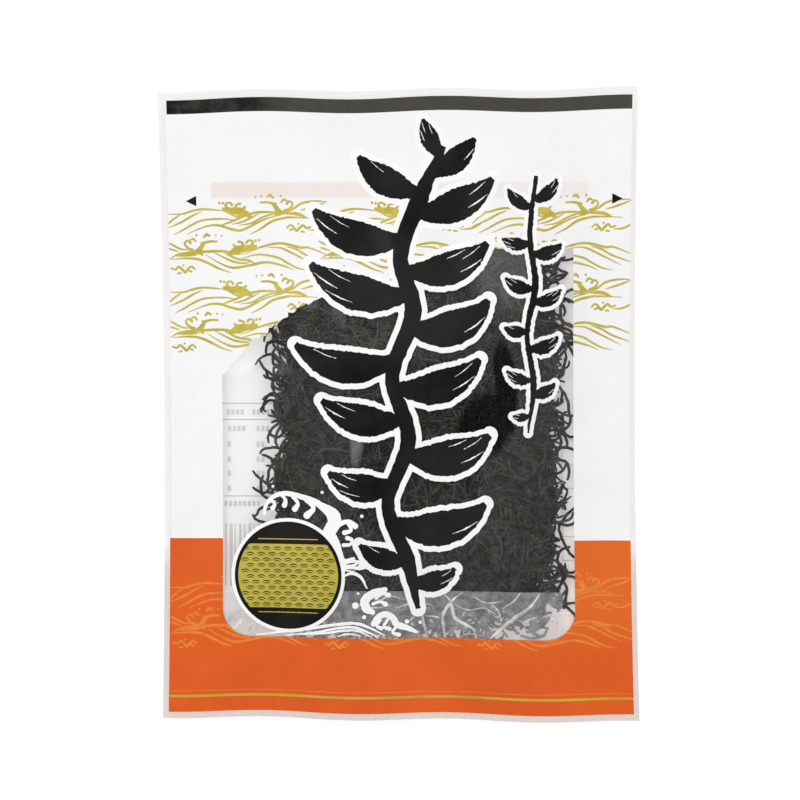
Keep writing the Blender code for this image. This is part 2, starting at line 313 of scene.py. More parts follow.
def rises(x, y, reach):
    """How far a web has risen across and along the pouch: 0 at the seals, 1 over the heap."""
    left = (x + WIDTH / 2 - SIDE_SEAL) / reach["left"]
    right = (WIDTH / 2 - SIDE_SEAL - x) / reach["right"]
    bottom = (y + LENGTH / 2 - BOTTOM_SEAL) / reach["bottom"]
    top = (LENGTH / 2 - TOP_SEAL - y) / reach["top"]
    return soft_step(left) * soft_step(right), soft_step(bottom) * soft_step(top)


def front_solid(x, y):
    """Height of the outside of the front web's solid."""
    across, along = rises(x, y, FRONT_REACH)
    filled = across * along
    sealed = seam(x, y) + SEAL_GAP / 2 + SOLID_FILM
    side_folds = 4 * across * (1 - across) * along * wave(y, *SIDE_FOLDS)
    end_folds = 4 * along * (1 - along) * across * wave(x, *END_FOLDS)
    lumps = filled * wave(x, *LUMPS[0]) * wave(y, *LUMPS[1])
    crown = sealed + (THICKNESS - LUMP - sealed) * filled
    return crown + PUCKER * (side_folds + end_folds) + LUMP * lumps


def front_film(x, y):
    """Height of the outside of the front web, with the fine ripples and seal ribs of real film."""
    across, along = rises(x, y, FRONT_REACH)
    slack = np.minimum(1.0, 4 * across * (1 - across) + 4 * along * (1 - along))
    ripples = np.sin(0.61 * x + 1.9 * np.sin(0.13 * y)) * np.sin(0.37 * y + 1.3 * np.sin(0.11 * x) + 1.0)
    ribbed = soft_step((y - RIBBED[0]) / RIB_FADE) * soft_step((RIBBED[1] - y) / RIB_FADE)
    ribs = ribbed * RIB_DEPTH * wave(y, RIB_PITCH)
    return front_solid(x, y) - FILM_DEPTH + (FILLED_RIPPLE + SLACK_RIPPLE * slack) * ripples + ribs


def back_film(x, y):
    """Height of the underside of the back web."""
    across, along = rises(x, y, BACK_REACH)
    ripples = np.sin(0.43 * x + 1.1 * np.sin(0.15 * y)) * np.sin(0.31 * y + 0.9 * np.sin(0.17 * x))
    lift = 1 - across * along
    return (seam(x, y) - SEAL_GAP / 2 - SOLID_FILM + BACK_RIPPLE * ripples) * lift + BACK_LIFT


def film_lines():
    """Columns and rows of the film's grid, with rows close enough for the seal ribs."""
    columns = np.linspace(-WIDTH / 2, WIDTH / 2, round(WIDTH / GRID) + 1)
    below = np.linspace(-LENGTH / 2, RIBBED[0], 8, endpoint=False)
    count = round((RIBBED[1] - RIBBED[0]) / RIB_PITCH * ROWS_PER_RIB)
    ribs = np.linspace(*RIBBED, count, endpoint=False)
    above = np.linspace(RIBBED[1], LENGTH / 2, round((LENGTH / 2 - RIBBED[1]) / GRID) + 1)
    return columns, np.concatenate([below, ribs, above])


def skin(name, x, y, height, thickness, material):
    """A closed skin over a grid of points of the flat film, with its upper face at a height."""
    upper = np.stack([*outline(x, y), height], -1).reshape(-1, 3)
    index = np.arange(x.size).reshape(x.shape)
    quads = np.stack([index[:-1, :-1], index[:-1, 1:], index[1:, 1:], index[1:, :-1]], -1).reshape(-1, 4)
    rim = np.concatenate([index[0, :-1], index[:-1, -1], index[-1, :0:-1], index[:0:-1, 0]])
    after = np.roll(rim, -1)
    walls = np.stack([rim + x.size, after + x.size, after, rim], -1)
    faces = np.concatenate([quads, quads[:, ::-1] + x.size, walls])
    return new_piece(name, np.concatenate([upper, upper - (0, 0, thickness)]), faces, material)


def sheet(name, columns, rows, top, thickness, material):
    """A skin over columns and rows of the flat film, as high as top says."""
    x, y = np.meshgrid(columns, rows)
    return skin(name, x, y, top(x, y), thickness, material)


def clings(nodes):
    """1 where the front web clings to the seaweed and 0 elsewhere, with a ragged rim."""
    ragged = 1.1 * (nodes.noise(2.4, 4.0, (1.0, 0.35, 1.0)) - 0.5)
    free = 1.0
    for oval in CLINGING:
        free = nodes.ease(nodes.oval(*oval, ragged), 0.5, 1.1) * free
    return 1.0 - free


def film_material(name, milk, sheen_ovals, gloss, tint, clinging=False):
    """Clear film: light passes straight through, and a slant mirrors more.

    It is milky in ovals of painted sheen, and where it clings to the seaweed it hardly shines.
    """
    made, nodes = new_material(name)
    facing = nodes.node("ShaderNodeLayerWeight", {}, {"Blend": 0.5}, "Facing")
    mirror = gloss + (0.7 - gloss) * facing**5.0
    crinkle = nodes.bump(nodes.noise(3.5, 3.0, (1.0, 0.6, 1.0)), 0.05, 0.5)
    smear = nodes.ease(nodes.noise(9.0, 4.0, (1.0, 0.4, 1.0)), 0.35, 0.7, 0.05, 0.16)
    clear = nodes.node("ShaderNodeBsdfTransparent", {}, {"Color": tint})
    shine = nodes.node("ShaderNodeBsdfGlossy", {}, {"Color": WHITE, "Roughness": smear, "Normal": crinkle})
    body = nodes.node("ShaderNodeBsdfDiffuse", {}, {"Color": (0.86, 0.86, 0.86, 1.0)})
    cloud = nodes.ease(nodes.noise(14.0, 4.0), 0.3, 0.75, milk * 0.8, milk * 1.2)
    ragged = 0.9 * (nodes.noise(3.0, 4.0, (1.0, 0.4, 1.0)) - 0.5)
    # Painted sheen: each oval makes the film milky where glare lies on it.
    for *oval, milkiness in sheen_ovals:
        cloud = cloud + nodes.ease(nodes.oval(*oval, ragged), 0.0, 1.2, milkiness, 0.0)
    if clinging:
        dulled = 1.0 - CLINGING_DULLS * clings(nodes)
        mirror, cloud = mirror * dulled, cloud * dulled
    veil = nodes.node("ShaderNodeMixShader", {}, {0: cloud, 1: clear, 2: body})
    nodes.surface(nodes.node("ShaderNodeMixShader", {}, {0: mirror, 1: veil, 2: shine}))
    return made


def settle(slot, *pieces):
    """Makes pieces ride on the pouch; the finish slot is not used."""
    for piece in pieces:
        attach(piece, "root")


back_clear = film_material("back_film", 0.004, (), 0.012, (0.973, 0.969, 0.967, 1.0))
front_clear = film_material("front_film", 0.004, PAINTED_SHEEN, 0.008, (0.985, 0.981, 0.98, 1.0), clinging=True)
columns, rows = film_lines()
back_web = sheet("back_web", columns, rows, lambda x, y: back_film(x, y) + FILM, FILM, back_clear)
front_web = sheet("front_web", columns, rows, front_film, FILM, front_clear)
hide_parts("film_back")
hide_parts("film_front")
settle("clear_film", back_web, front_web)


# Back label: a printed white panel on the inside of the back web, with a pale red strip along its
# top, two ruled tables with runs of plain marks and a block of plain upright bars. It is a pale
# ground beside the heap.
LABEL = (-53.6, 54.4, -70.0, 63.6)
STRIP_BOTTOM = 58.2
FOOT_TOP = -59.0
TABLES = ((-51.9, -20.0, (0.2, -4.4, -26.3)), (46.9, 52.6, (-10.0, -16.8, -23.6, -30.4, -37.2, -44.0)))
RULE = 0.2
MARK_WIDTH = 0.95
MARK_HEIGHT = 1.6
MARK_PITCH = 1.35
MARK_RUNS = (
    (-50.0, 4, -2.3), (-42.6, 4, -2.3), (-49.6, 4, -7.0), (-41.4, 3, -7.0), (-49.8, 1, -11.5),
    (-41.4, 2, -11.5), (-49.8, 1, -15.8), (-41.4, 2, -15.8), (-49.8, 1, -19.9), (-41.4, 2, -19.9),
    (-49.8, 1, -24.1), (-41.4, 2, -24.1), (-50.8, 8, -28.5),
)
BARS = (-52.0, -34.2)
BAR_LEFT = -50.6
BAR_PITCH = 1.35
BAR_WIDTHS = (0.5, 0.9, 0.4, 0.7, 0.5, 0.8, 0.4, 0.6, 0.9)
LABEL_STEP = 1.6
LABEL_LIFT = 0.1
LABEL_INK = 0.04
RULE_LIFT = 0.05


def ink_material(
    name, dark, light, roughness=0.3, alpha=1.0, coarse=7.0, blush=None, glow=0.0, lit=None
):
    """Printing ink under a thin gloss: its tone varies a little, and it has a fine grain.

    A blush is a box, how soft its rim is, a colour that tints the ink there, and how strong it is on
    the left and on the right. A glow stands for the light that reaches an ink through the white
    print, which the ink skins hold back: lit is the oval that gets it all, and what the rest gets.
    """
    made, nodes = new_material(name)
    tone = nodes.mix(nodes.ease(nodes.noise(coarse, 4.0), 0.3, 0.7), dark + (1.0,), light + (1.0,))
    if blush:
        left, right, low, high, soft, tint, at_left, at_right = blush
        x, y = nodes.place("X") / MM, nodes.place("Y") / MM
        across = nodes.ease(x, left, left + soft) * nodes.ease(x, right - soft, right, 1.0, 0.0)
        up = nodes.ease(y, low, low + soft) * nodes.ease(y, high - soft, high, 1.0, 0.0)
        tone = nodes.mix(across * up * nodes.ease(x, left, right, at_left, at_right), tone, tint + (1.0,))
    shining = tone
    if lit:
        *oval, share = lit
        fully = nodes.ease(nodes.oval(*oval), 0.3, 1.0, 1.0, 0.0)
        shining = nodes.mix(fully, (share, share, share, 1.0), tone)
    grain = nodes.noise(0.35, 2.0)
    sockets = {
        "Base Color": tone,
        "Roughness": nodes.ease(nodes.noise(3.0, 3.0), 0.3, 0.7, roughness * 0.8, roughness * 1.2),
        "Normal": nodes.bump(grain, 0.01, 0.3),
        "Specular IOR Level": 0.12,
        "Emission Color": shining,
        "Emission Strength": glow,
    }
    if alpha < 1.0:
        sockets["Alpha"] = nodes.ease(nodes.noise(5.0, 3.0), 0.3, 0.7, alpha * 0.99, min(1.0, alpha * 1.01))
    nodes.surface(nodes.node("ShaderNodeBsdfPrincipled", {}, sockets))
    return made


def on_label(x, y):
    return back_film(x, y) + FILM + LABEL_LIFT


def patch(name, left, right, low, high, material, lift=0.0):
    """A rectangle printed on the label, following the film."""
    columns = np.linspace(left, right, max(2, round((right - left) / LABEL_STEP) + 1))
    rows = np.linspace(low, high, max(2, round((high - low) / LABEL_STEP) + 1))
    return sheet(name, columns, rows, lambda x, y: on_label(x, y) + lift, LABEL_INK, material)


def join(pieces, name):
    """One object from several pieces of one material."""
    verts, faces, start = [], [], 0
    for piece in pieces:
        mesh = piece.data
        verts += [tuple(vert.co) for vert in mesh.vertices]
        faces += [[start + n for n in face.vertices] for face in mesh.polygons]
        start += len(mesh.vertices)
    material = pieces[0].data.materials[0]
    for piece in pieces:
        bpy.data.objects.remove(piece, do_unlink=True)
    mesh = bpy.data.meshes.new(name)
    mesh.from_pydata(verts, [], faces)
    mesh.materials.append(material)
    return put(name, mesh)


def patches(name, boxes, material):
    """Many small rectangles printed on the label's white, as one piece."""
    return join([patch("patch", *box, material, RULE_LIFT) for box in boxes], name)


# Painted light: the lower end of the label is tinted rosy, and its foot is rosy, for the orange light that
# comes through the orange print over them.
ORANGE_LIGHT_TINT = (-70.0, 70.0, -72.0, -34.0, 9.0, (0.95, 0.86, 0.84), 1.0, 1.0)
# Painted light: the label white glows, most in an oval under the torn upper edge of the window where the
# print shades it; the foot and the pale grey glow faintly too.
TORN_EDGE_LIGHT = (-43.6, 14.2, 9.5, 5.0, 45.0, 0.4)
whites = (0.95, 0.95, 0.945), (0.98, 0.98, 0.975)
label_white = ink_material("label_white", *whites, 0.5, 0.45, blush=ORANGE_LIGHT_TINT, glow=0.31, lit=TORN_EDGE_LIGHT)
label_grey = ink_material("label_grey", (0.5, 0.5, 0.52), (0.58, 0.58, 0.6), 0.5, 0.8)
label_red = ink_material("label_red", (0.74, 0.36, 0.3), (0.82, 0.42, 0.36), 0.5)
label_orange_light = ink_material("label_orange_light", (0.86, 0.68, 0.62), (0.94, 0.78, 0.72), 0.5, 0.42, glow=0.1)
greys = (0.66, 0.65, 0.66), (0.74, 0.73, 0.74)
label_pale_grey = ink_material("label_pale_grey", *greys, 0.5, 0.45, glow=0.13)
label = patch("back_label", *LABEL[:2], FOOT_TOP, STRIP_BOTTOM, label_white)
strip = patch("back_label_strip", *LABEL[:2], STRIP_BOTTOM, LABEL[3], label_red)
foot = patch("back_label_foot", *LABEL[:2], LABEL[2], FOOT_TOP, label_orange_light)
rules = []
for left, right, heights in TABLES:
    rules += [(left, right, y - RULE / 2, y + RULE / 2) for y in heights]
    rules += [(x - RULE / 2, x + RULE / 2, heights[-1], heights[0]) for x in (left, right)]
table = patches("back_label_table", rules, label_grey)
bars = []
for n, width in enumerate(BAR_WIDTHS):
    left = BAR_LEFT + n * BAR_PITCH
    bars.append((left, left + width, *BARS))
bars = patches("back_label_bars", bars, label_pale_grey)
marks = []
for first, count, y in MARK_RUNS:
    for left in first + np.arange(count) * MARK_PITCH:
        marks.append((left, left + MARK_WIDTH, y - MARK_HEIGHT / 2, y + MARK_HEIGHT / 2))
marks = patches("back_label_marks", marks, label_pale_grey)
settle("clear_film", label, strip, foot, table, bars, marks)


# Heap: the middle of the dried seaweed, built in place of the imported one, a dark lump that the
# strands hide. It follows the heap's solid, a little inside it, and fills the pouch between the two webs.
HEAP_X = 6.0
HEAP_Y = -5.0
HEAP_HALF_X = 39.0
HEAP_HALF_Y = 57.0
HEAP_SQUARENESS = 4.5
CORE_INSET = 0.93
CORE_SINK = 1.3
CORE_RINGS = 40
CORE_SPOKES = 120
EDGE_SHARE = 0.16
HALF_DEPTH = 0.3
WEB_CLEAR = 0.2
SEAWEED_DARK = (0.0035, 0.0035, 0.0028, 1.0)
SEAWEED_LIGHT = (0.088, 0.086, 0.07, 1.0)
# Painted shade: the seaweed's colour where the film clings to it.
SEAWEED_CLINGING_SHADE = (0.001, 0.001, 0.001, 1.0)


def heap_edge(angle):
    """Distance from the heap's middle to its edge."""
    c, s = np.abs(np.cos(angle)) / HEAP_HALF_X, np.abs(np.sin(angle)) / HEAP_HALF_Y
    reach = (c**HEAP_SQUARENESS + s**HEAP_SQUARENESS) ** (-1 / HEAP_SQUARENESS)
    uneven = 0.012 * np.sin(5 * angle + 0.6) + 0.012 * np.sin(13 * angle + 2.0)
    return reach * (1 + uneven + 0.01 * np.sin(23 * angle + 1.0) + 0.008 * np.sin(37 * angle))


def heap_place(angle, share, inset=1.0):
    """A point of the heap in plan, at a share of the way from its middle to its edge."""
    reach = heap_edge(angle) * share * inset
    return HEAP_X + reach * np.cos(angle), HEAP_Y + reach * np.sin(angle)


def heap_roof(x, y):
    return front_film(x, y) - FILM - WEB_CLEAR


def heap_floor(x, y):
    return on_label(x, y) + WEB_CLEAR


def heap_sheet(side, sink, inset):
    """Points of one face of the heap, sunk in by a depth: its middle, then rings outwards."""
    spokes = np.arange(CORE_SPOKES) * 2 * np.pi / CORE_SPOKES
    angle, share = np.meshgrid(spokes, np.arange(1, CORE_RINGS + 1) / CORE_RINGS)
    x, y = heap_place(angle, share, inset)
    roof, floor = heap_roof(x, y), heap_floor(x, y)
    rounding = np.sqrt(1 - (1 - np.minimum(1.0, (1 - share) / EDGE_SHARE)) ** 2)
    z = (roof + floor) / 2 + side * np.maximum(HALF_DEPTH, (roof - floor) / 2 - sink) * rounding
    points = np.stack([x, y, z], -1)
    middle = points[0].mean(axis=0, keepdims=True)
    return np.concatenate([middle, points.reshape(-1, 3)])


def ring_quads(index):
    """Faces between rings of points, whose last spoke is joined to the first."""
    after = np.roll(index, -1, axis=1)
    return np.stack([index[:-1], index[1:], after[1:], after[:-1]], -1)


def disc_faces(first):
    """Faces from the middle point to the outermost ring."""
    index = first + 1 + np.arange(CORE_RINGS * CORE_SPOKES).reshape(CORE_RINGS, CORE_SPOKES)
    fan = np.stack([np.full(CORE_SPOKES, first), index[0], np.roll(index[0], -1)], -1)
    return fan.tolist() + ring_quads(index).reshape(-1, 4).tolist()


def seaweed_material():
    """Dried seaweed: nearly black, each strand with its own tone and a dry sheen.

    Where the film clings to it, its colour is painted nearly black as a painted shade.
    """
    made, nodes = new_material("seaweed")
    strand_tone = nodes.node("ShaderNodeAttribute", {"attribute_name": "tone"}, {}, "Fac")
    blotches = nodes.ease(nodes.noise(2.6, 4.0), 0.35, 0.7)
    tone = nodes.mix(0.65 * strand_tone**2.0 + 0.35 * blotches, SEAWEED_DARK, SEAWEED_LIGHT)
    # Painted shade: nearly black where the film clings.
    tone = nodes.mix(clings(nodes), tone, SEAWEED_CLINGING_SHADE)
    grain = nodes.noise(0.5, 3.0)
    sockets = {
        "Base Color": tone,
        "Roughness": nodes.ease(nodes.noise(1.4, 3.0), 0.3, 0.7, 0.38, 0.62),
        "Normal": nodes.bump(grain, 0.12, 0.8),
        "Specular IOR Level": 0.16,
    }
    nodes.surface(nodes.node("ShaderNodeBsdfPrincipled", {}, sockets))
    return made


seaweed = seaweed_material()
core_top = heap_sheet(1, CORE_SINK, CORE_INSET)
core_bottom = heap_sheet(-1, CORE_SINK, CORE_INSET)
count = len(core_top)
core_faces = disc_faces(0) + [face[::-1] for face in disc_faces(count)]
rim = count - CORE_SPOKES + np.arange(CORE_SPOKES)
core_faces += np.stack([rim, rim + count, np.roll(rim, -1) + count, np.roll(rim, -1)], -1).tolist()
core = new_piece("heap_core", np.concatenate([core_top, core_bottom]), core_faces, seaweed)
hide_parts("hijiki_heap")
settle("dried_seaweed", core)


# Strands: short curled buds of dried seaweed, under a millimetre thick, scattered by Geometry Nodes
# over both faces of the heap and round its edge, and pressed against the film where they meet it.
# Each is an arc, with its radius and how far it turns in radians, that wavers a little.
STRAND_SIDES = 4
STRAND_ARCS = ((7.0, 1.3), (5.0, 1.9), (11.0, 1.1), (3.6, 2.6), (16.0, 0.9), (8.0, 2.0))
CURLED_ARCS = ((3.0, 4.6), (4.2, 3.8), (2.3, 5.4), (5.5, 3.0), (3.6, 4.4), (7.0, 2.4))
STRAND_SIZES = (0.75, 1.2)
STRAND_TAPER = 0.3
WAVER = 2.6
WAVER_SIZE = 7.0
GOLDEN = 0.618
PRESS_DEPTH = 1.1
FLOOR_SHARE = 0.3


def strand_tree(name, arcs, rings):
    """Scatters strands over a mesh. Its inputs set how many there are, how thick and how deep they lie."""
    group = bpy.data.node_groups.new(name, "GeometryNodeTree")
    face = group.interface
    face.new_socket("Geometry", in_out="INPUT", socket_type="NodeSocketGeometry")
    for label in ("Strands per square metre", "Radius", "Depth", "Tilt", "Seed"):
        kind = "NodeSocketInt" if label == "Seed" else "NodeSocketFloat"
        face.new_socket(label, in_out="INPUT", socket_type=kind)
    face.new_socket("Material", in_out="INPUT", socket_type="NodeSocketMaterial")
    face.new_socket("Geometry", in_out="OUTPUT", socket_type="NodeSocketGeometry")
    nodes = Nodes(group)
    entry = nodes.node("NodeGroupInput")

    def given(label):
        return Value(nodes, entry.socket.node.outputs[label])

    def chance(low, high, offset):
        sockets = {2: low, 3: high, "Seed": given("Seed") + offset}
        return nodes.node("FunctionNodeRandomValue", {"data_type": "FLOAT"}, sockets, 1)

    scatter = {"Mesh": given("Geometry"), "Density": given("Strands per square metre"), "Seed": given("Seed")}
    points = nodes.node("GeometryNodeDistributePointsOnFaces", {"distribute_method": "RANDOM"}, scatter)
    lie = Value(nodes, points.socket.node.outputs["Rotation"])
    drop = nodes.vector(z=0.0 - chance(0.0, given("Depth"), 3))
    sunk = nodes.node("GeometryNodeSetPosition", {}, {"Geometry": points, "Offset": drop})
    variants = nodes.node("GeometryNodeGeometryToInstance")
    for radius, sweep in arcs:
        shape = {"Resolution": rings, "Radius": radius * MM, "Start Angle": -sweep / 2, "Sweep Angle": sweep}
        arc = nodes.node("GeometryNodeCurveArc", {"mode": "RADIUS"}, shape)
        back = {"Geometry": arc, "Translation": (-radius * MM, 0.0, 0.0)}
        centred = nodes.node("GeometryNodeTransform", {}, back)
        group.links.new(centred.socket, variants.socket.node.inputs[0])
    spin = nodes.vector(z=chance(0.0, 2 * math.pi, 7))
    lean = nodes.vector(x=given("Tilt") * chance(-1.0, 1.0, 11))
    turned = rotated(nodes, rotated(nodes, lie, spin), lean)
    size = chance(*STRAND_SIZES, 13)
    placed = {
        "Points": sunk,
        "Instance": variants,
        "Pick Instance": True,
        "Rotation": turned,
        "Scale": nodes.vector(size, size, size),
    }
    strewn = nodes.node("GeometryNodeInstanceOnPoints", {}, placed)
    tone = {"Geometry": strewn, "Name": "tone", "Value": chance(0.0, 1.0, 17)}
    toned = nodes.node("GeometryNodeStoreNamedAttribute", {"data_type": "FLOAT", "domain": "INSTANCE"}, tone)
    real = nodes.node("GeometryNodeRealizeInstances", {}, {"Geometry": toned})
    noise = nodes.node("ShaderNodeTexNoise", {}, {"Scale": 1 / (WAVER_SIZE * MM), "Detail": 2.0}, "Color")
    centre = nodes.node("ShaderNodeVectorMath", {"operation": "SUBTRACT"}, {0: noise, 1: (0.5, 0.5, 0.5)})
    shift = (WAVER * MM * 2, WAVER * MM * 2, WAVER * MM)
    wander = nodes.node("ShaderNodeVectorMath", {"operation": "MULTIPLY"}, {0: centre, 1: shift})
    waved = nodes.node("GeometryNodeSetPosition", {}, {"Geometry": real, "Offset": wander})
    circle = {"Resolution": STRAND_SIDES, "Radius": given("Radius")}
    profile = nodes.node("GeometryNodeCurvePrimitiveCircle", {}, circle)
    share = nodes.node("GeometryNodeSplineParameter")
    tube = {
        "Curve": waved,
        "Profile Curve": profile,
        "Scale": 1.0 - STRAND_TAPER * (2.0 * share - 1.0) ** 8.0,
        "Fill Caps": True,
    }
    tubes = nodes.node("GeometryNodeCurveToMesh", {}, tube)
    smooth = nodes.node("GeometryNodeSetShadeSmooth", {}, {"Geometry": tubes})
    dressed = nodes.node("GeometryNodeSetMaterial", {}, {"Geometry": smooth, "Material": given("Material")})
    nodes.node("NodeGroupOutput", {}, {"Geometry": dressed})
    return group


def rotated(nodes, rotation, euler):
    """A rotation turned further about its own axes."""
    turn = nodes.node("FunctionNodeEulerToRotation", {}, {0: euler})
    settings = {"rotation_space": "LOCAL"}
    return nodes.node("FunctionNodeRotateRotation", settings, {"Rotation": rotation, "Rotate By": turn})


def strands(name, bed_points, bed_faces, tree, rings, radius, density, depth, tilt, seed):
    """A plain mesh of strands scattered over a bed, kept between the two webs."""
    bed = new_piece(name + "_bed", bed_points, bed_faces, seaweed)
    spread = bed.modifiers.new("strands", "NODES")
    spread.node_group = tree
    inputs = {
        "Strands per square metre": density,
        "Radius": radius * MM,
        "Depth": depth * MM,
        "Tilt": tilt,
        "Seed": seed,
        "Material": seaweed,
    }
    for socket in tree.interface.items_tree:
        if socket.in_out == "INPUT" and socket.name in inputs:
            spread[socket.identifier] = inputs[socket.name]
    graph = bpy.context.evaluated_depsgraph_get()
    mesh = bpy.data.meshes.new_from_object(bed.evaluated_get(graph))
    bpy.data.objects.remove(bed, do_unlink=True)
    mesh.name = name
    points = np.empty(len(mesh.vertices) * 3, np.float32)
    mesh.vertices.foreach_get("co", points)
    points = points.reshape(-1, 3).astype(float) / MM
    tubes = points.reshape(-1, rings, STRAND_SIDES, 3)
    x, y, z = np.moveaxis(tubes, -1, 0)
    pressed = PRESS_DEPTH * (np.arange(len(tubes)) * GOLDEN % 1.0)[:, None, None] ** 1.5
    roof, floor = heap_roof(x, y), heap_floor(x, y)
    z = z - np.maximum(0.0, (z - roof + pressed).max(axis=2, keepdims=True))
    z = z + np.maximum(0.0, (floor + pressed * FLOOR_SHARE - z).max(axis=2, keepdims=True))
    tubes[..., 2] = np.where(roof < floor, (roof + floor) / 2, np.clip(z, floor, np.maximum(roof, floor)))
    mesh.vertices.foreach_set("co", (points * MM).astype(np.float32).reshape(-1))
    mesh.update()
    made = put(name, mesh)
    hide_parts("hijiki_heap")
    settle("dried_seaweed", made)


LAID_RINGS = 8
CURL_RINGS = 14
straight_tree = strand_tree("laid_strands", STRAND_ARCS, LAID_RINGS)
curled_tree = strand_tree("curled_strands", CURLED_ARCS, CURL_RINGS)
LAID_RADIUS = 0.34
LAID_PER_M2 = 360000.0
BACK_PER_M2 = 130000.0
LAID_DEPTH = 1.6
LAID_TILT = 0.12
LAID_SINK = 0.5
BED_INSET = 0.955
laid = (straight_tree, LAID_RINGS, LAID_RADIUS)
for n in (1, 2):
    bed = heap_sheet(1, LAID_SINK, BED_INSET)
    strands(f"front_strands_{n}", bed, disc_faces(0), *laid, LAID_PER_M2, LAID_DEPTH, LAID_TILT, n)
bed = heap_sheet(-1, LAID_SINK, BED_INSET)
back_faces = [face[::-1] for face in disc_faces(0)]
strands("back_strands", bed, back_faces, *laid, BACK_PER_M2, 0.0, LAID_TILT, 5)

# Fringe: curled strands that stick out of the heap's edge and lie loose between the two webs, thick
# near the heap, thin further out and thick again below its foot.
FRINGES = (
    ("edge_curls", 0.95, 1.02, 230000.0, 0.5, (0, 360)),
    ("loose_curls", 1.0, 1.085, 70000.0, 0.25, (0, 360)),
    ("foot_curls", 1.0, 1.1, 110000.0, 0.2, (-134, -50)),
)
CURL_RADIUS = 0.43
FRINGE_RINGS = 6
FRINGE_SPOKES = 120


def fringe_bed(inner, outer, sweep):
    """A ring round the heap's edge, or part of one, midway between the webs."""
    start, end = np.radians(sweep)
    spokes = start + np.arange(FRINGE_SPOKES) * (end - start) / FRINGE_SPOKES
    angle, share = np.meshgrid(spokes, np.linspace(inner, outer, FRINGE_RINGS))
    x, y = heap_place(angle, share)
    middle = (heap_roof(x, y) + heap_floor(x, y)) / 2
    faces = ring_quads(np.arange(angle.size).reshape(angle.shape))
    if end - start < 2 * np.pi:
        faces = faces[:, :-1]
    return np.stack([x, y, middle], -1).reshape(-1, 3), faces.reshape(-1, 4).tolist()


curled = (curled_tree, CURL_RINGS, CURL_RADIUS)
for n, (name, inner, outer, density, tilt, sweep) in enumerate(FRINGES):
    strands(name, *fringe_bed(inner, outer, sweep), *curled, density, 0.0, tilt, 20 + n)


# Milky strip: a band of hazy film lies under the front web along the foot of the window. It was
# folded when the pouch was filled, and the folds stay as fine white creases.
STRIP = (-51.8, 46.6, -68.4, -52.9)
STRIP_DROP = 0.1
STRIP_FILM = 0.03
STRIP_STEP = 1.3
CREASE_DROP = 0.06
CREASE_SPREAD = 1.25
CREASES = (
    (((4.5, -53.1), (5.6, -57.4), (6.4, -61.1), (7.2, -64.5), (8.1, -67.4)), 0.6),
    (((11.8, -53.1), (13.9, -55.3), (14.8, -57.8), (15.6, -60.7), (18.5, -62.4), (21.0, -64.1),
      (21.9, -67.4)), 0.75),
    (((18.1, -53.1), (14.8, -55.7), (12.2, -59.9), (12.5, -64.9), (13.1, -67.4)), 0.75),
    (((34.4, -53.1), (32.7, -55.3), (29.8, -57.2)), 0.5),
    (((40.2, -53.1), (37.3, -57.0), (32.7, -60.3), (28.5, -63.6), (24.8, -67.4)), 0.85),
    (((-1.6, -57.8), (2.6, -56.5), (6.0, -56.4), (9.5, -57.2)), 0.4),
    (((6.8, -60.1), (9.0, -60.2), (11.8, -60.7)), 0.35),
    (((-14.0, -56.4), (-8.0, -57.6), (-2.5, -56.9)), 0.3),
    (((-50.0, -62.3), (-48.1, -60.8), (-45.8, -58.6)), 0.8),
    (((-48.5, -64.6), (-46.3, -62.5), (-43.8, -60.2)), 0.8),
    (((-45.2, -66.4), (-44.0, -65.1), (-42.4, -63.2)), 0.5),
    (((25.6, -56.2), (28.0, -58.3), (29.0, -61.5)), 0.3),
    (((41.4, -58.2), (44.9, -61.5), (46.3, -65.0)), 0.35),
    (((15.2, -56.6), (19.4, -58.3), (24.0, -57.6), (27.2, -59.4)), 0.3),
    (((20.4, -54.2), (24.8, -56.1), (30.2, -55.4)), 0.28),
    (((-10.5, -53.6), (-6.2, -55.4), (-3.0, -54.2), (1.2, -55.4)), 0.3),
    (((0.6, -62.6), (3.9, -60.2), (4.6, -57.4)), 0.28),
    (((31.6, -66.8), (35.0, -64.2), (36.4, -61.0), (40.2, -59.6)), 0.3),
    (((16.6, -67.0), (19.0, -65.2), (23.8, -65.6)), 0.26),
    (((-38.0, -58.4), (-40.8, -61.0), (-41.6, -64.6)), 0.28),
)


def smooth_path(points, count):
    """A smooth curve of count points through the given ones."""
    points = np.asarray(points, float)
    padded = np.concatenate([2 * points[:1] - points[1:2], points, 2 * points[-1:] - points[-2:-1]])
    t = np.linspace(0, len(points) - 1, count)
    k = np.minimum(t.astype(int), len(points) - 2)
    u = (t - k)[:, None]
    a, b, c, d = padded[k], padded[k + 1], padded[k + 2], padded[k + 3]
    return 0.5 * (2 * b + (c - a) * u + (2 * a - 5 * b + 4 * c - d) * u**2 + (3 * b - a - 3 * c + d) * u**3)


def headings(path):
    """The way ahead at each point of a path, and the unit vector to its left."""
    ahead = np.gradient(path, axis=0)
    side = np.stack([-ahead[:, 1], ahead[:, 0]], -1) / np.maximum(np.hypot(*ahead.T), 1e-9)[:, None]
    return ahead, side


def under_front(x, y):
    return front_film(x, y) - FILM - STRIP_DROP


def film_haze(name, low, high, tint):
    """Milky film: cloudy where it is rubbed and clearer between."""
    made, nodes = new_material(name)
    cloud = nodes.ease(nodes.noise(2.4, 7.0), 0.34, 0.68, low, high)
    clear = nodes.node("ShaderNodeBsdfTransparent", {}, {"Color": WHITE})
    body = nodes.node("ShaderNodeBsdfDiffuse", {}, {"Color": tint})
    nodes.surface(nodes.node("ShaderNodeMixShader", {}, {0: cloud, 1: clear, 2: body}))
    return made


def crease(points, width):
    """A fine raised fold along points, tapered to both ends."""
    path = smooth_path(points, 6 * len(points))
    _, side = headings(path)
    half = width / 2 * np.sin(np.linspace(0.15, math.pi - 0.15, len(path)))[:, None]
    x, y = np.moveaxis(np.stack([path - side * half, path + side * half]), -1, 0)
    return skin("crease", x, y, front_film(x, y) - FILM - CREASE_DROP, STRIP_FILM, crease_film)


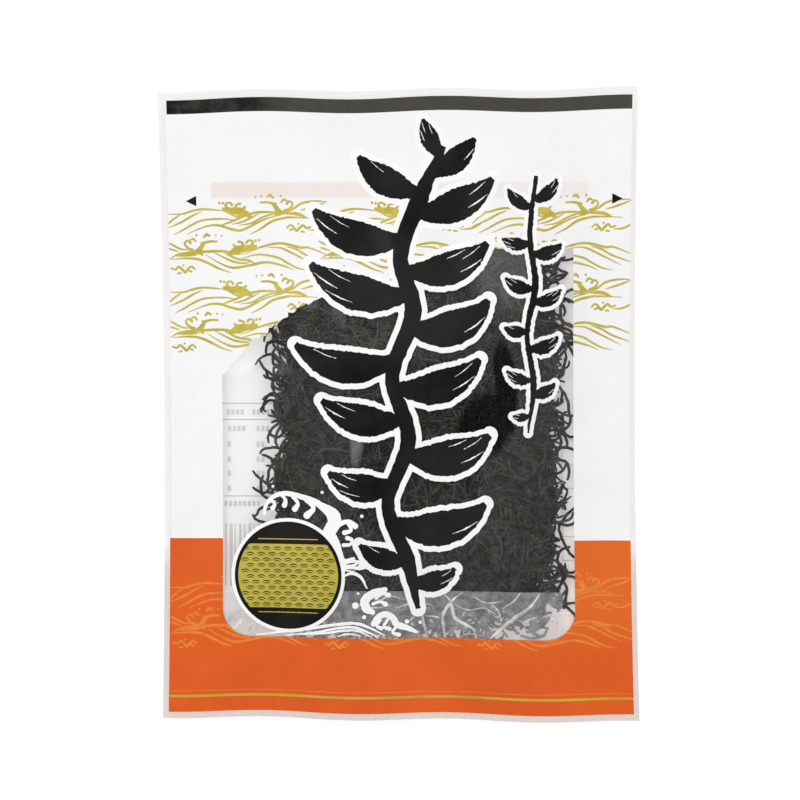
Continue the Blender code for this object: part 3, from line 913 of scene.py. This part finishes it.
haze_film = film_haze("milky_film", 0.09, 0.2, (0.8, 0.83, 0.84, 1.0))
crease_film = film_haze("crease_film", 0.3, 0.8, (0.86, 0.88, 0.88, 1.0))
strip_columns = np.linspace(STRIP[0], STRIP[1], round((STRIP[1] - STRIP[0]) / STRIP_STEP))
strip_rows = np.linspace(STRIP[2], STRIP[3], round((STRIP[3] - STRIP[2]) / STRIP_STEP))
milky_strip = sheet("milky_strip", strip_columns, strip_rows, under_front, STRIP_FILM, haze_film)
creases = join([crease(points, CREASE_SPREAD * width) for points, width in CREASES], "creases")
settle("clear_film", milky_strip, creases)


# Printing: all the inks lie side by side in one skin on the front web. Each motif below adds its
# outlines in the order of printing, and the skin is cut along them at the end. White and orange leave
# a clear margin, tinted faintly by painted orange light from the print beside it, and a black band runs along
# the top.
PRINT_LEFT = -65.9
PRINT_RIGHT = 66.5
PRINT_BOTTOM = -87.7
BAND = (83.2, 87.2)
BAND_LEFT = PRINT_LEFT + 0.3
ORANGE_TOP = -38.3
ORANGE_LEFT = PRINT_LEFT - 0.5
ORANGE_CAST_TOP = ORANGE_TOP + 1.0
GOLD_LINE = (-83.55, -82.85)
PALE_LINE = (-81.82, -81.66)
WINDOW_LEFT = -51.1
WINDOW_RIGHT = 50.2
WINDOW_BOTTOM = -66.4
WINDOW_CORNER = 8.2
WINDOW_TOP = ((-51.1, 8.6), (-42.5, 17.5), (-38.8, 20.3), (-28.3, 27.4), (-17.8, 32.6), (-6.0, 34.5),
              (4.0, 38.5), (12.0, 41.8), (23.5, 44.2), (50.2, 44.2))
TORN = 0.45
TORN_STEP = 0.9
TORN_SHARES = (0.4, 1.0)
HAIRLINE = 0.04

printing = []


def lay(ink, shape, over=None):
    """Adds one closed outline of an ink, with points close enough to follow the film.

    over names the only inks that it may cover.
    """
    shape = np.asarray(shape, float)
    fine = []
    for start, end in zip(shape, np.roll(shape, -1, axis=0)):
        count = math.ceil(np.hypot(*(end - start)) / GRID) or 1
        fine.append(start + (end - start) * np.linspace(0, 1, count, endpoint=False)[:, None])
    printing.append((ink, np.concatenate(fine), over))


def round_end(middle, ahead, radius):
    """Points round one end of a brush stroke, half a circle from its left to its right."""
    facing = math.atan2(ahead[1], ahead[0]) + np.linspace(math.pi / 2, -math.pi / 2, 9)[1:-1]
    return middle + radius * np.stack([np.cos(facing), np.sin(facing)], -1)


def stroke(points, widths, count, ragged=0.0, seed=0, spread=0.0):
    """The outline of a brush stroke through points, its widths spaced evenly along it.

    A stroke that is spread by some distance all round has round ends.
    """
    path = smooth_path(points, count)
    ahead, side = headings(path)
    half = np.interp(np.linspace(0, 1, count), np.linspace(0, 1, len(widths)), widths)[:, None] / 2
    rough = np.random.default_rng(seed).normal(0, ragged, (2, count, 1))
    left = path + side * np.maximum(half + rough[0], HAIRLINE) + side * spread
    right = path - side * np.maximum(half + rough[1], HAIRLINE) - side * spread
    if not spread:
        return np.concatenate([left, right[::-1]])
    front = round_end(path[-1], ahead[-1], half[-1] + spread)
    back = round_end(path[0], -ahead[0], half[0] + spread)
    return np.concatenate([left, front, right[::-1], back])


def disc(x, y, radius, count, turn=0.0, sweep=2 * math.pi):
    angle = turn + np.arange(count) * sweep / count
    return np.stack([x + radius * np.cos(angle), y + radius * np.sin(angle)], -1)


def box(left, right, low, high):
    return np.array([(left, low), (right, low), (right, high), (left, high)])


# Window: the clear opening over the heap, with round lower corners and a torn-looking upper edge.
def window_outline():
    turn = np.linspace(0, math.pi / 2, 10)
    low_y = WINDOW_BOTTOM + WINDOW_CORNER
    left_x, right_x = WINDOW_LEFT + WINDOW_CORNER, WINDOW_RIGHT - WINDOW_CORNER
    left = np.stack([left_x - WINDOW_CORNER * np.cos(turn), low_y - WINDOW_CORNER * np.sin(turn)], -1)
    right = np.stack([right_x + WINDOW_CORNER * np.sin(turn), low_y - WINDOW_CORNER * np.cos(turn)], -1)
    top = np.array(WINDOW_TOP)[::-1]
    steps = []
    rng = np.random.default_rng(4)
    for start, end in zip(top, top[1:]):
        count = max(2, int(np.hypot(*(end - start)) / TORN_STEP))
        piece = start + (end - start) * np.linspace(0, 1, count, endpoint=False)[:, None]
        steps.append(piece + rng.normal(0, TORN, piece.shape) * TORN_SHARES)
    torn = np.concatenate(steps + [top[-1:]])
    torn[0] = top[0]
    return np.concatenate([left, right, torn])


# Painted light: a faint orange tint on the clear margin beside the orange print, for the orange light it
# casts into the film.
lay("stray_orange", box(-WIDTH / 2, WIDTH / 2, -LENGTH / 2, ORANGE_CAST_TOP))
lay("white", box(PRINT_LEFT, PRINT_RIGHT, PRINT_BOTTOM, BAND[0]))
lay("orange", box(ORANGE_LEFT, PRINT_RIGHT, PRINT_BOTTOM, ORANGE_TOP))
lay("band_black", box(BAND_LEFT, PRINT_RIGHT, *BAND))
lay("clear", window_outline())
lay("gold_line", box(ORANGE_LEFT, PRINT_RIGHT, *GOLD_LINE), over=("orange",))
lay("pale_orange", box(PRINT_LEFT, PRINT_RIGHT, *PALE_LINE), over=("orange",))

# Tear marks: a small printed black triangle on each side, where the pouch is meant to be torn open.
# Each has its tip and its base across the pouch.
TEAR_MARKS = ((-60.8, -57.8), (64.2, 61.2))
TEAR_HEIGHT = 58.1
TEAR_HALF = 1.5
for tip, base in TEAR_MARKS:
    lay("black", [(tip, TEAR_HEIGHT), (base, TEAR_HEIGHT - TEAR_HALF), (base, TEAR_HEIGHT + TEAR_HALF)])


# Waves: a traditional wave pattern in gold on the white and in pale orange on the orange: braided
# swells of flowing lines, and crests that break into curls and drops.
WAVE_TILE = 43.7
WAVE_TILES = 3
WAVE_LEFT = -65.8
GOLD_ROWS = (54.6, 32.15)
PALE_ROW = -52.2
SWELL_TIP = 0.2
SWELLS = (
    (((-0.9, -0.1), (3.6, -0.2), (6.8, 0.7), (9.5, 1.1), (12.7, 0.9), (15.9, 0.5)), 0.55),
    (((-0.5, -3.4), (1.1, -1.8), (3.2, -0.5)), 0.5),
    (((-0.5, -4.3), (3.6, -2.5), (6.8, -0.7), (9.5, 0.4)), 0.5),
    (((1.4, -6.1), (3.6, -5.0), (6.8, -3.2), (10.0, -2.0), (15.9, -1.8), (19.1, -2.4)), 0.5),
    (((5.0, -6.0), (10.4, -3.9), (14.1, -3.6), (18.1, -4.8), (21.3, -5.0), (27.7, -2.0), (34.0, -0.4)),
     0.62),
    (((15.9, 0.5), (19.1, -1.1), (21.8, -1.0), (25.4, -0.1), (29.9, -0.1), (33.1, -0.4)), 0.6),
    (((14.1, -3.9), (17.2, -2.9), (20.0, -1.8), (22.7, -0.7), (25.9, -0.1)), 0.55),
    (((18.1, -3.4), (20.9, -2.8), (23.6, -1.6), (25.9, -0.5)), 0.5),
    (((20.0, -3.7), (23.6, -3.2), (26.3, -1.8), (29.0, -0.8), (31.8, -0.5)), 0.5),
    (((23.1, -6.4), (26.3, -4.8), (29.5, -2.7), (32.7, -1.8), (35.4, -1.5), (42.6, -1.8)), 0.6),
    (((33.1, -0.4), (35.4, 0.7), (38.1, 2.5), (41.7, 3.2), (45.4, 3.2)), 0.55),
    (((45.4, 3.1), (42.6, 2.0), (39.9, 1.1), (37.7, 0.5)), 0.5),
    (((33.1, -0.5), (36.7, -0.5), (39.9, -1.7)), 0.8),
    (((39.9, -5.1), (42.6, -4.9), (44.5, -4.1), (46.7, -2.7)), 0.5),
    (((-0.9, -8.2), (0.5, -8.8), (3.2, -10.2), (5.7, -10.5)), 0.5),
    (((-0.5, -10.0), (0.9, -10.4), (2.7, -11.0)), 0.45),
    (((-0.2, -13.2), (2.7, -11.7), (7.3, -11.2), (15.4, -11.0), (18.1, -11.8), (21.8, -11.9)), 0.62),
    (((21.8, -11.9), (26.3, -10.0), (31.8, -8.9), (37.7, -10.1), (40.4, -10.2), (47.2, -12.9)), 0.6),
    (((0.5, -13.2), (4.5, -12.9), (8.2, -13.2), (11.8, -14.7), (14.5, -16.1), (17.7, -17.2)), 0.6),
    (((10.4, -12.0), (15.0, -14.7), (18.6, -15.8), (23.6, -15.0), (28.0, -14.3), (32.7, -15.3),
      (35.8, -16.6)), 0.62),
    (((12.7, -11.3), (15.4, -12.7), (18.6, -14.1), (21.8, -14.5), (23.6, -13.8)), 0.5),
    (((15.0, -11.0), (18.1, -12.7), (20.4, -13.5), (22.7, -13.7), (24.5, -14.5)), 0.55),
    (((20.0, -13.4), (25.4, -12.1), (30.9, -12.9), (33.6, -14.3), (36.7, -15.9), (39.9, -16.6)), 0.52),
    (((28.1, -10.0), (31.8, -10.2), (34.5, -11.3), (37.7, -12.9), (42.2, -15.1)), 0.5),
    (((33.6, -9.8), (36.7, -10.7), (39.9, -12.5), (46.3, -14.7)), 0.5),
    (((1.8, -12.2), (5.4, -11.8), (8.2, -11.9)), 0.9),
)
HIGH_CREST = (
    (((0.4, -0.5), (-0.2, 0.9), (-1.1, 2.2)), (3.2, 1.5, 1.1)),
    (((-0.4, 2.3), (-2.8, 3.0), (-5.0, 3.0)), (1.1, 0.7, 0.6)),
    (((1.6, 0.4), (3.2, 1.2), (4.2, 2.5), (3.3, 3.4), (2.5, 2.7)), (1.2, 0.8, 0.6, 0.6, 0.9)),
    (((0.8, 2.9), (1.6, 3.8), (2.5, 3.6)), (0.5, 0.8, 0.5)),
    (((-3.2, 4.5), (-2.2, 5.0), (-1.4, 4.3)), (0.5, 1.0, 0.6)),
    (((-6.6, 4.4), (-6.4, 4.6)), (0.55, 0.55)),
    (((-5.0, 4.6), (-4.8, 4.8)), (0.6, 0.6)),
    (((0.5, 4.8), (0.8, 4.9)), (0.7, 0.7)),
)
LOW_CREST = (
    (((-3.8, 1.2), (-1.0, 0.7), (1.6, 0.4), (4.0, -0.7)), (1.0, 1.9, 2.3, 1.4)),
    (((-2.0, 1.2), (-2.7, 2.5), (-1.5, 3.0), (-0.8, 2.3)), (1.0, 0.6, 0.6, 0.8)),
    (((0.2, 1.0), (0.4, 2.3), (1.5, 2.6)), (1.2, 0.6, 0.8)),
    (((2.2, 0.8), (2.9, 1.7)), (1.0, 0.7)),
    (((-4.7, 2.9), (-4.4, 3.0)), (0.8, 0.8)),
    (((-3.7, 2.8), (-3.4, 2.9)), (0.8, 0.8)),
)
FOAM_TRAIL = (
    (((-3.4, 0.0), (-2.4, 0.9), (-1.4, 0.3), (-0.6, -0.7), (0.3, 0.1), (1.3, 0.9), (2.2, 0.1), (3.4, 0.4)),
     (0.5, 0.8, 0.6)),
    (((-2.6, -0.6), (-1.7, -0.3)), (0.6, 0.6)),
    (((0.6, -0.9), (1.6, -1.0)), (0.6, 0.5)),
    (((-0.3, 1.2), (0.0, 1.3)), (0.6, 0.6)),
)
BREAKERS = (
    (HIGH_CREST, 31.4, -0.3, 1), (LOW_CREST, 19.0, -0.2, 1), (FOAM_TRAIL, 37.2, -4.6, 1),
    (HIGH_CREST, 8.6, -11.2, -1), (LOW_CREST, 21.4, -11.0, -1), (FOAM_TRAIL, 3.9, -16.2, -1),
)


def wave_tile(x, y):
    """All the outlines of one repeat of the pattern, its upper left corner at x, y."""
    shapes = []
    for points, width in SWELLS:
        widths = (SWELL_TIP, width * 1.1, width * 1.3, width * 1.1, SWELL_TIP)
        shapes.append(stroke(points, widths, 6 * len(points)) + (x, y))
    for breaker, base_x, base_y, side in BREAKERS:
        for points, widths in breaker:
            turned = np.array(points) * (side, 1.0) + (x + base_x, y + base_y)
            shapes.append(stroke(turned, widths, 4 * len(points)))
            shapes.append(disc(*turned[-1], widths[-1] / 2, 8))
    return shapes


for column in range(WAVE_TILES):
    for row_y in GOLD_ROWS:
        for shape in wave_tile(WAVE_LEFT + column * WAVE_TILE, row_y):
            lay("gold", shape, over=("white",))
    for shape in wave_tile(WAVE_LEFT + column * WAVE_TILE, PALE_ROW):
        lay("pale_orange", shape, over=("orange",))


# Sprig: a spray of seaweed painted with a broad black brush down the middle of the pouch, and a
# smaller one beside it. A white edge sets both off from the dark heap in the window. Each leaf has
# its place, heading, length, width and bend, each streak its shift and where it starts and ends.
SPRIG_EDGE = 1.6
SPRIG_STEM = (
    (5.0, -58.0), (2.0, -44.0), (-3.5, -28.0), (2.5, -10.0), (-2.0, 8.0), (4.0, 26.0), (0.5, 42.0),
    (6.0, 58.0), (13.0, 73.0),
)
SPRIG_STEM_WIDTHS = (1.4, 4.4, 3.8, 4.6, 4.0, 5.0, 4.4, 5.2, 1.6)
SPRIG_LEAVES = (
    (2.0, -44.0, 190, 15.0, 6.4, -1.0), (3.0, -50.0, -15, 14.0, 6.0, 1.1),
    (-1.0, -22.0, 205, 21.0, 8.2, -1.2), (-2.0, -33.0, -25, 29.0, 10.0, 1.3),
    (1.0, -4.0, 195, 25.0, 9.0, -1.0), (2.0, -14.0, -20, 26.0, 10.4, 1.2),
    (-1.0, 13.0, 205, 31.0, 9.4, -1.2), (-1.0, 5.0, -15, 27.0, 9.6, 1.2),
    (3.0, 31.0, 190, 31.0, 10.4, -1.0), (3.0, 22.0, -20, 26.0, 10.2, 1.4),
    (1.0, 47.0, 192, 28.0, 10.0, -1.1), (2.0, 38.0, -12, 26.0, 9.6, 1.1),
    (6.0, 60.0, 170, 21.0, 8.4, -0.8), (5.0, 54.0, 0, 25.0, 9.4, 0.9),
    (12.0, 70.0, 125, 12.0, 5.4, -0.4), (10.0, 65.0, 25, 16.0, 7.0, 0.6),
)
LEAF_WIDTHS = (0.3, 0.62, 0.92, 1.0, 0.86, 0.55, 0.16)
SMALL_EDGE = 1.15
SMALL_STEM = ((37.0, -8.0), (38.6, 6.0), (36.8, 20.0), (39.2, 34.0), (37.6, 48.0), (39.4, 65.0))
SMALL_STEM_WIDTHS = (0.6, 1.9, 1.5, 2.0, 1.6, 1.2)
SMALL_LEAVES = (
    (38.2, 56.0, 170, 9.0, 3.8, -1.0), (38.6, 58.0, 14, 9.5, 4.0, 1.0), (37.8, 46.0, 200, 8.6, 3.8, -1.0),
    (38.2, 43.0, -16, 9.5, 4.2, 1.2), (38.6, 33.0, 190, 9.0, 4.0, -1.1), (38.4, 29.0, -6, 9.5, 3.8, 1.1),
    (36.8, 21.0, 200, 7.0, 3.6, -1.0), (37.0, 16.0, -12, 10.0, 4.0, 1.2), (38.0, 7.0, 190, 8.0, 3.4, -1.1),
    (38.0, 3.0, -8, 8.0, 3.6, 1.2), (37.4, -3.0, 205, 5.0, 2.6, -0.8),
)
STREAKS = ((-0.22, 0.58, 0.86), (0.1, 0.66, 0.96), (0.3, 0.52, 0.78))
BRISTLES = ((-0.13, 0.8, 1.0), (0.12, 0.84, 1.0))
BRISTLE_WIDTHS = (0.5, 0.35, 0.12)
SPINE_STEPS = 24
STEM_POINTS = 120
STEM_EDGE_ROUGH = 0.06
STEM_ROUGH = 0.08
STEM_SEED = 5
LEAF_POINTS = 44
LEAF_ROUGH = 0.11
LEAF_SEED = 100
MARK_ROUGH = 0.05


def leaf_spine(x, y, heading, length, bend, start=0.0, end=1.0, shift=0.0):
    """Points along a leaf's middle line, or beside it, between two shares of its length."""
    turn = math.radians(heading) + bend * np.linspace(0.0, 1.0, SPINE_STEPS + 1)
    steps = np.stack([np.cos(turn), np.sin(turn)], -1) * length / SPINE_STEPS
    spine = np.concatenate([[(x, y)], (x, y) + np.cumsum(steps[:-1], axis=0)])
    spine += shift * np.stack([-np.sin(turn), np.cos(turn)], -1)
    return spine[round(SPINE_STEPS * start):round(SPINE_STEPS * end) + 1:3]


def leaf(x, y, heading, length, width, bend, spread, seed):
    """One bud-shaped leaf: narrow where it leaves the stem, full at its middle and pointed."""
    widths = [width * share for share in LEAF_WIDTHS]
    spine = leaf_spine(x, y, heading, length, bend)
    return stroke(spine, widths, LEAF_POINTS, LEAF_ROUGH, LEAF_SEED + seed, spread)


def sprig(stem, widths, leaves, edge):
    """A painted spray with its white edge under it, dry streaks in its leaves and bristle marks."""
    painted = ("paint_white", "white", "gold")
    lay("paint_white", stroke(stem, widths, STEM_POINTS, STEM_EDGE_ROUGH, STEM_SEED, edge))
    for n, one in enumerate(leaves):
        lay("paint_white", leaf(*one, edge, n))
    lay("black", stroke(stem, widths, STEM_POINTS, STEM_ROUGH, STEM_SEED), over=painted)
    for n, one in enumerate(leaves):
        *spine, width, bend = one
        lay("black", leaf(*one, 0.0, n), over=painted)
        for shift, start, end in BRISTLES:
            mark = leaf_spine(*spine, bend, start, end, shift * width)
            lay("black", stroke(mark, BRISTLE_WIDTHS, 14, MARK_ROUGH, n), over=painted)
        for k, (shift, start, end) in enumerate(STREAKS[:1 + n % 3]):
            dry = leaf_spine(*spine, bend, start, end, shift * width)
            thickness = 0.035 * width * (1.0 + 0.4 * math.sin(3 * n + 2 * k))
            streak = stroke(dry, (0.05, thickness, 0.05), 18, MARK_ROUGH, n + k)
            lay("paint_white", streak, over=("black",))


sprig(SPRIG_STEM, SPRIG_STEM_WIDTHS, SPRIG_LEAVES, SPRIG_EDGE)
sprig(SMALL_STEM, SMALL_STEM_WIDTHS, SMALL_LEAVES, SMALL_EDGE)


# Foam: a crest painted in white that breaks round the badge, with curls, drops and flowing lines
# below it. It lies on the clear window only, and small black gaps part its thickest stroke.
FOAM_STROKES = (
    (((-39.1, -31.3), (-38.7, -29.0), (-37.2, -26.9), (-34.7, -25.6), (-31.8, -25.5), (-28.4, -26.3),
      (-25.1, -27.4), (-22.0, -29.2), (-19.6, -31.0), (-18.9, -33.2), (-20.5, -36.1)),
     (0.9, 1.1, 1.4, 1.5, 1.9, 4.0, 3.4)),
    (((-37.2, -27.3), (-36.1, -28.4), (-36.7, -29.7)), (0.9, 0.9, 1.4)),
    (((-33.9, -26.1), (-32.9, -27.4), (-33.3, -28.8)), (0.9, 0.9, 1.5)),
    (((-30.9, -26.3), (-29.4, -28.2), (-30.3, -29.8)), (1.0, 1.0, 1.7)),
    (((-27.2, -27.1), (-24.9, -29.4), (-26.8, -31.6)), (1.1, 1.2, 2.0)),
    (((-20.5, -38.2), (-19.1, -36.1), (-17.6, -34.1), (-15.1, -33.2), (-12.9, -34.4)), (1.4, 1.5, 1.3, 1.7)),
    (((-14.9, -33.8), (-14.1, -35.6), (-16.0, -36.3)), (1.0, 0.9, 1.4)),
    (((-16.3, -39.8), (-14.4, -39.6), (-13.9, -38.3), (-15.2, -37.8)), (1.1, 0.8, 1.3)),
    (((-19.7, -36.5), (-18.4, -39.0), (-17.4, -41.9), (-16.1, -44.2), (-13.4, -43.6)), (1.8, 1.9, 1.2, 0.9)),
    (((-16.8, -45.7), (-13.5, -45.6), (-10.4, -45.4)), (3.2, 3.4, 2.4)),
    (((-16.3, -48.6), (-13.8, -47.8), (-11.3, -49.0), (-9.7, -52.0)), (0.5, 1.0, 0.9, 0.4)),
    (((-4.4, -52.4), (-7.6, -53.4), (-10.2, -55.5), (-9.8, -57.8), (-8.0, -58.9)), (1.4, 2.2, 2.6, 2.6, 1.4)),
    (((-7.0, -54.8), (-5.1, -53.6), (-3.4, -54.0)), (0.9, 0.8, 1.4)),
    (((-8.0, -56.5), (-5.9, -55.9), (-4.3, -56.6)), (0.9, 0.8, 1.4)),
    (((-7.8, -62.2), (-6.3, -60.2), (-4.2, -59.5), (-2.1, -60.7), (-1.1, -62.4), (2.0, -63.5), (4.4, -64.6)),
     (1.6, 1.8, 1.9, 1.9, 0.9)),
    (((-5.9, -61.1), (-6.9, -62.7), (-5.6, -63.5)), (0.9, 0.8, 1.2)),
    (((-3.8, -61.1), (-4.8, -63.0), (-3.2, -63.7)), (0.9, 0.8, 1.2)),
    (((-1.3, -63.0), (-2.3, -64.7), (-0.5, -65.4)), (0.9, 0.8, 1.2)),
    (((-41.4, -66.0), (-30.0, -64.5), (-19.0, -62.6), (-13.0, -62.1), (-8.8, -63.4), (-4.7, -65.5)),
     (0.4, 0.9, 0.9, 0.3)),
    (((-33.0, -66.0), (-25.0, -65.0), (-18.4, -63.6), (-13.8, -63.2), (-9.7, -64.5), (-6.7, -65.9)),
     (0.3, 0.7, 0.8, 0.3)),
    (((-28.0, -65.6), (-22.2, -65.1), (-17.2, -64.3), (-12.6, -64.2), (-8.8, -65.8)),
     (0.3, 0.6, 0.7, 0.6, 0.3)),
    (((-18.0, -65.8), (-15.1, -65.1), (-11.7, -65.6)), (0.3, 0.5, 0.3)),
)
FOAM_DROPS = (
    (-13.0, -57.0, 0.95), (-10.5, -60.3, 0.6), (1.8, -61.6, 0.65), (5.6, -61.9, 0.5), (-12.2, -53.6, 0.4),
    (-36.6, -23.4, 0.4), (-22.4, -25.0, 0.45), (-11.0, -31.6, 0.5),
)
FOAM_GAPS = (
    ((-15.6, -45.3), (-13.0, -44.9)), ((-15.6, -46.7), (-11.8, -47.0)), ((-12.9, -45.9), (-11.9, -45.2)),
)
FOAM_ROUGH = 0.03
FOAM_SEED = 2
foam = []
for points, widths in FOAM_STROKES:
    foam.append(stroke(points, widths, 8 * len(points), FOAM_ROUGH, FOAM_SEED))
    foam.append(disc(*points[-1], widths[-1] / 2, 16))
    foam.append(disc(*points[0], widths[0] / 2, 12))
for drop in FOAM_DROPS:
    foam.append(disc(*drop, 14))
for shape in foam:
    lay("paint_white", shape, over=("clear",))
for points in FOAM_GAPS:
    lay("black", stroke(points, (0.1, 0.45, 0.2), 10), over=("paint_white",))


# Badge: a black disc with a white ring, a gold field across its middle and a fine gold line above
# and below the field, which carries black scallops.
BADGE_X = -32.3
BADGE_Y = -48.8
BADGE_RADIUS = 15.4
BADGE_RING = 16.4
FIELD_RADIUS = 14.4
FIELD = (-58.1, -39.8)
FIELD_LINES = (-38.4, -59.4)
FIELD_LINE = (8.6, 0.13)
SCALLOP = 3.1
SCALLOP_ROW = SCALLOP * 0.52
SCALLOP_TOP = FIELD[1] - 0.9
SCALLOP_ARCS = ((SCALLOP * 0.5, 0.3), (SCALLOP * 0.3, 0.26))
SCALLOP_TURN = math.radians(35)
SCALLOP_SWEEP = math.radians(122)
ROUND = 96
lay("paint_white", disc(BADGE_X, BADGE_Y, BADGE_RING, ROUND))
lay("black", disc(BADGE_X, BADGE_Y, BADGE_RADIUS, ROUND))
field = disc(BADGE_X, BADGE_Y, FIELD_RADIUS, ROUND)
field[:, 1] = np.clip(field[:, 1], *FIELD)
lay("gold_field", field)
line_half, line_thin = FIELD_LINE
for y in FIELD_LINES:
    lay("gold_field", box(BADGE_X - line_half, BADGE_X + line_half, y - line_thin, y + line_thin))
for row in range(math.ceil((FIELD[1] - FIELD[0]) / SCALLOP_ROW) + 1):
    y = SCALLOP_TOP - row * SCALLOP_ROW - SCALLOP * 0.5
    for n in range(-6, 7):
        aside = (n + (row % 2) / 2) * SCALLOP
        if abs(aside) > FIELD_RADIUS - 1.0:
            continue
        for radius, width in SCALLOP_ARCS:
            arc = disc(BADGE_X + aside, y, radius, 9, SCALLOP_TURN, SCALLOP_SWEEP)
            lay("black", stroke(arc, (0.06, width, width, width, 0.06), 12), over=("gold_field",))


# Skin of inks: the front web's grid and all the outlines are cut into one flat net of triangles.
# Each triangle takes the last ink laid over it, and each ink becomes a thin closed skin of its own.
INK_LIFT = 0.03
INK = 0.03
NEAR = 1e-3
LONGEST_NAME = 12


def inside(shape, x, y):
    """Whether points lie inside a closed outline that may run over itself."""
    winding = np.zeros(len(x), int)
    ends = np.roll(shape, -1, axis=0)
    for (x0, y0), (x1, y1) in zip(shape, ends):
        side = (x1 - x0) * (y - y0) - (x - x0) * (y1 - y0)
        winding += ((y0 <= y) & (y1 > y) & (side > 0)).astype(int)
        winding -= ((y0 > y) & (y1 <= y) & (side < 0)).astype(int)
    return winding != 0


def cut_net():
    """Corners and triangles of the flat net."""
    columns, rows = film_lines()
    grid_x, grid_y = np.meshgrid(columns, rows)
    points = [np.stack([grid_x.ravel(), grid_y.ravel()], -1)]
    edges = []
    start = len(points[0])
    for _, shape, _ in printing:
        inner = np.clip(shape, (-WIDTH / 2, -LENGTH / 2), (WIDTH / 2, LENGTH / 2))
        count = len(inner)
        points.append(inner)
        edges += [(start + n, start + (n + 1) % count) for n in range(count)]
        start += count
    flat = np.concatenate(points)
    corners, _, triangles, _, _, _ = delaunay_2d_cdt([tuple(p) for p in flat], edges, [], 0, NEAR, False)
    return np.array([tuple(corner) for corner in corners]), np.array(triangles)


def inks_of(corners, triangles):
    """The name of the ink of each triangle."""
    middle = corners[triangles].mean(axis=1)
    named = np.full(len(triangles), "clear", dtype=(str, LONGEST_NAME))
    for ink, shape, over in printing:
        low, high = shape.min(axis=0), shape.max(axis=0)
        near = np.flatnonzero(((middle > low) & (middle < high)).all(axis=1))
        if over:
            near = near[np.isin(named[near], over)]
        covered = near[inside(shape, *middle[near].T)]
        named[covered] = ink
    return named


def ink_skin(name, corners, triangles, material):
    """A thin closed skin of ink over some triangles of the net."""
    used, flat = np.unique(triangles, return_inverse=True)
    flat = flat.reshape(triangles.shape)
    x, y = corners[used].T
    height = front_film(x, y) + INK_LIFT
    plan_x, plan_y = outline(x, y)
    lower = np.stack([plan_x, plan_y, height], -1)
    upper = lower + (0.0, 0.0, INK)
    sides = np.concatenate([flat[:, [0, 1]], flat[:, [1, 2]], flat[:, [2, 0]]])
    keys = np.sort(sides, axis=1)
    _, first, counts = np.unique(keys, axis=0, return_index=True, return_counts=True)
    rim = sides[first[counts == 1]]
    size = len(used)
    walls = np.stack([rim[:, 0] + size, rim[:, 1] + size, rim[:, 1], rim[:, 0]], -1)
    faces = flat.tolist() + (flat[:, ::-1] + size).tolist() + walls.tolist()
    return new_piece(name, np.concatenate([upper, lower]), faces, material)


RED_BEHIND = (LABEL[0], LABEL[1], STRIP_BOTTOM, LABEL[3], 1.0, (0.86, 0.785, 0.757), 1.0, 0.5)
WARM_SIDE = (-90.0, 100.0, -78.0, -10.0, 26.0, (0.69, 0.138, 0.018), 0.12, 1.0)
# Painted sheen: the black band is lighter from near its left end on, standing for glare off the film over it.
BAND_SHEEN = (-45.0, 90.0, 65.0, 105.0, 17.0, (0.064, 0.061, 0.053), 0.85, 0.85)
# Painted light: the orange cast on the margin fades out towards its top.
ORANGE_CAST_FADE = (-90.0, 90.0, -49.0, -20.0, 11.0, (0.95, 0.95, 0.95), 1.0, 1.0)
INKS = (
    ("stray_orange", (0.5, 0.25, 0.16), (0.54, 0.28, 0.18), 0.18, 7.0, ORANGE_CAST_FADE),
    ("white", (0.89, 0.89, 0.89), (0.91, 0.91, 0.91), 0.86, 18.0, RED_BEHIND),
    ("orange", (0.62, 0.091, 0.0135), (0.68, 0.103, 0.015), 1.0, 22.0, WARM_SIDE),
    ("black", (0.002, 0.002, 0.0018), (0.013, 0.0128, 0.0115), 1.0, 26.0, None),
    ("band_black", (0.004, 0.004, 0.0035), (0.036, 0.035, 0.031), 1.0, 3.5, BAND_SHEEN),
    ("gold_line", (0.43, 0.27, 0.032), (0.53, 0.37, 0.045), 1.0, 14.0, None),
    ("paint_white", (0.83, 0.83, 0.84), (0.87, 0.87, 0.875), 1.0, 7.0, None),
    ("gold", (0.44, 0.36, 0.055), (0.54, 0.45, 0.075), 1.0, 3.0, None),
    ("gold_field", (0.43, 0.36, 0.055), (0.48, 0.41, 0.065), 1.0, 7.0, None),
    ("pale_orange", (0.66, 0.18, 0.03), (0.78, 0.22, 0.04), 1.0, 3.0, None),
)
net_corners, net_triangles = cut_net()
net_inks = inks_of(net_corners, net_triangles)
for ink, dark, light, alpha, coarse, blush in INKS:
    material = ink_material(ink + "_ink", dark, light, alpha=alpha, coarse=coarse, blush=blush)
    chosen = net_triangles[net_inks == ink]
    settle("clear_film", ink_skin("print_" + ink, net_corners, chosen, material))
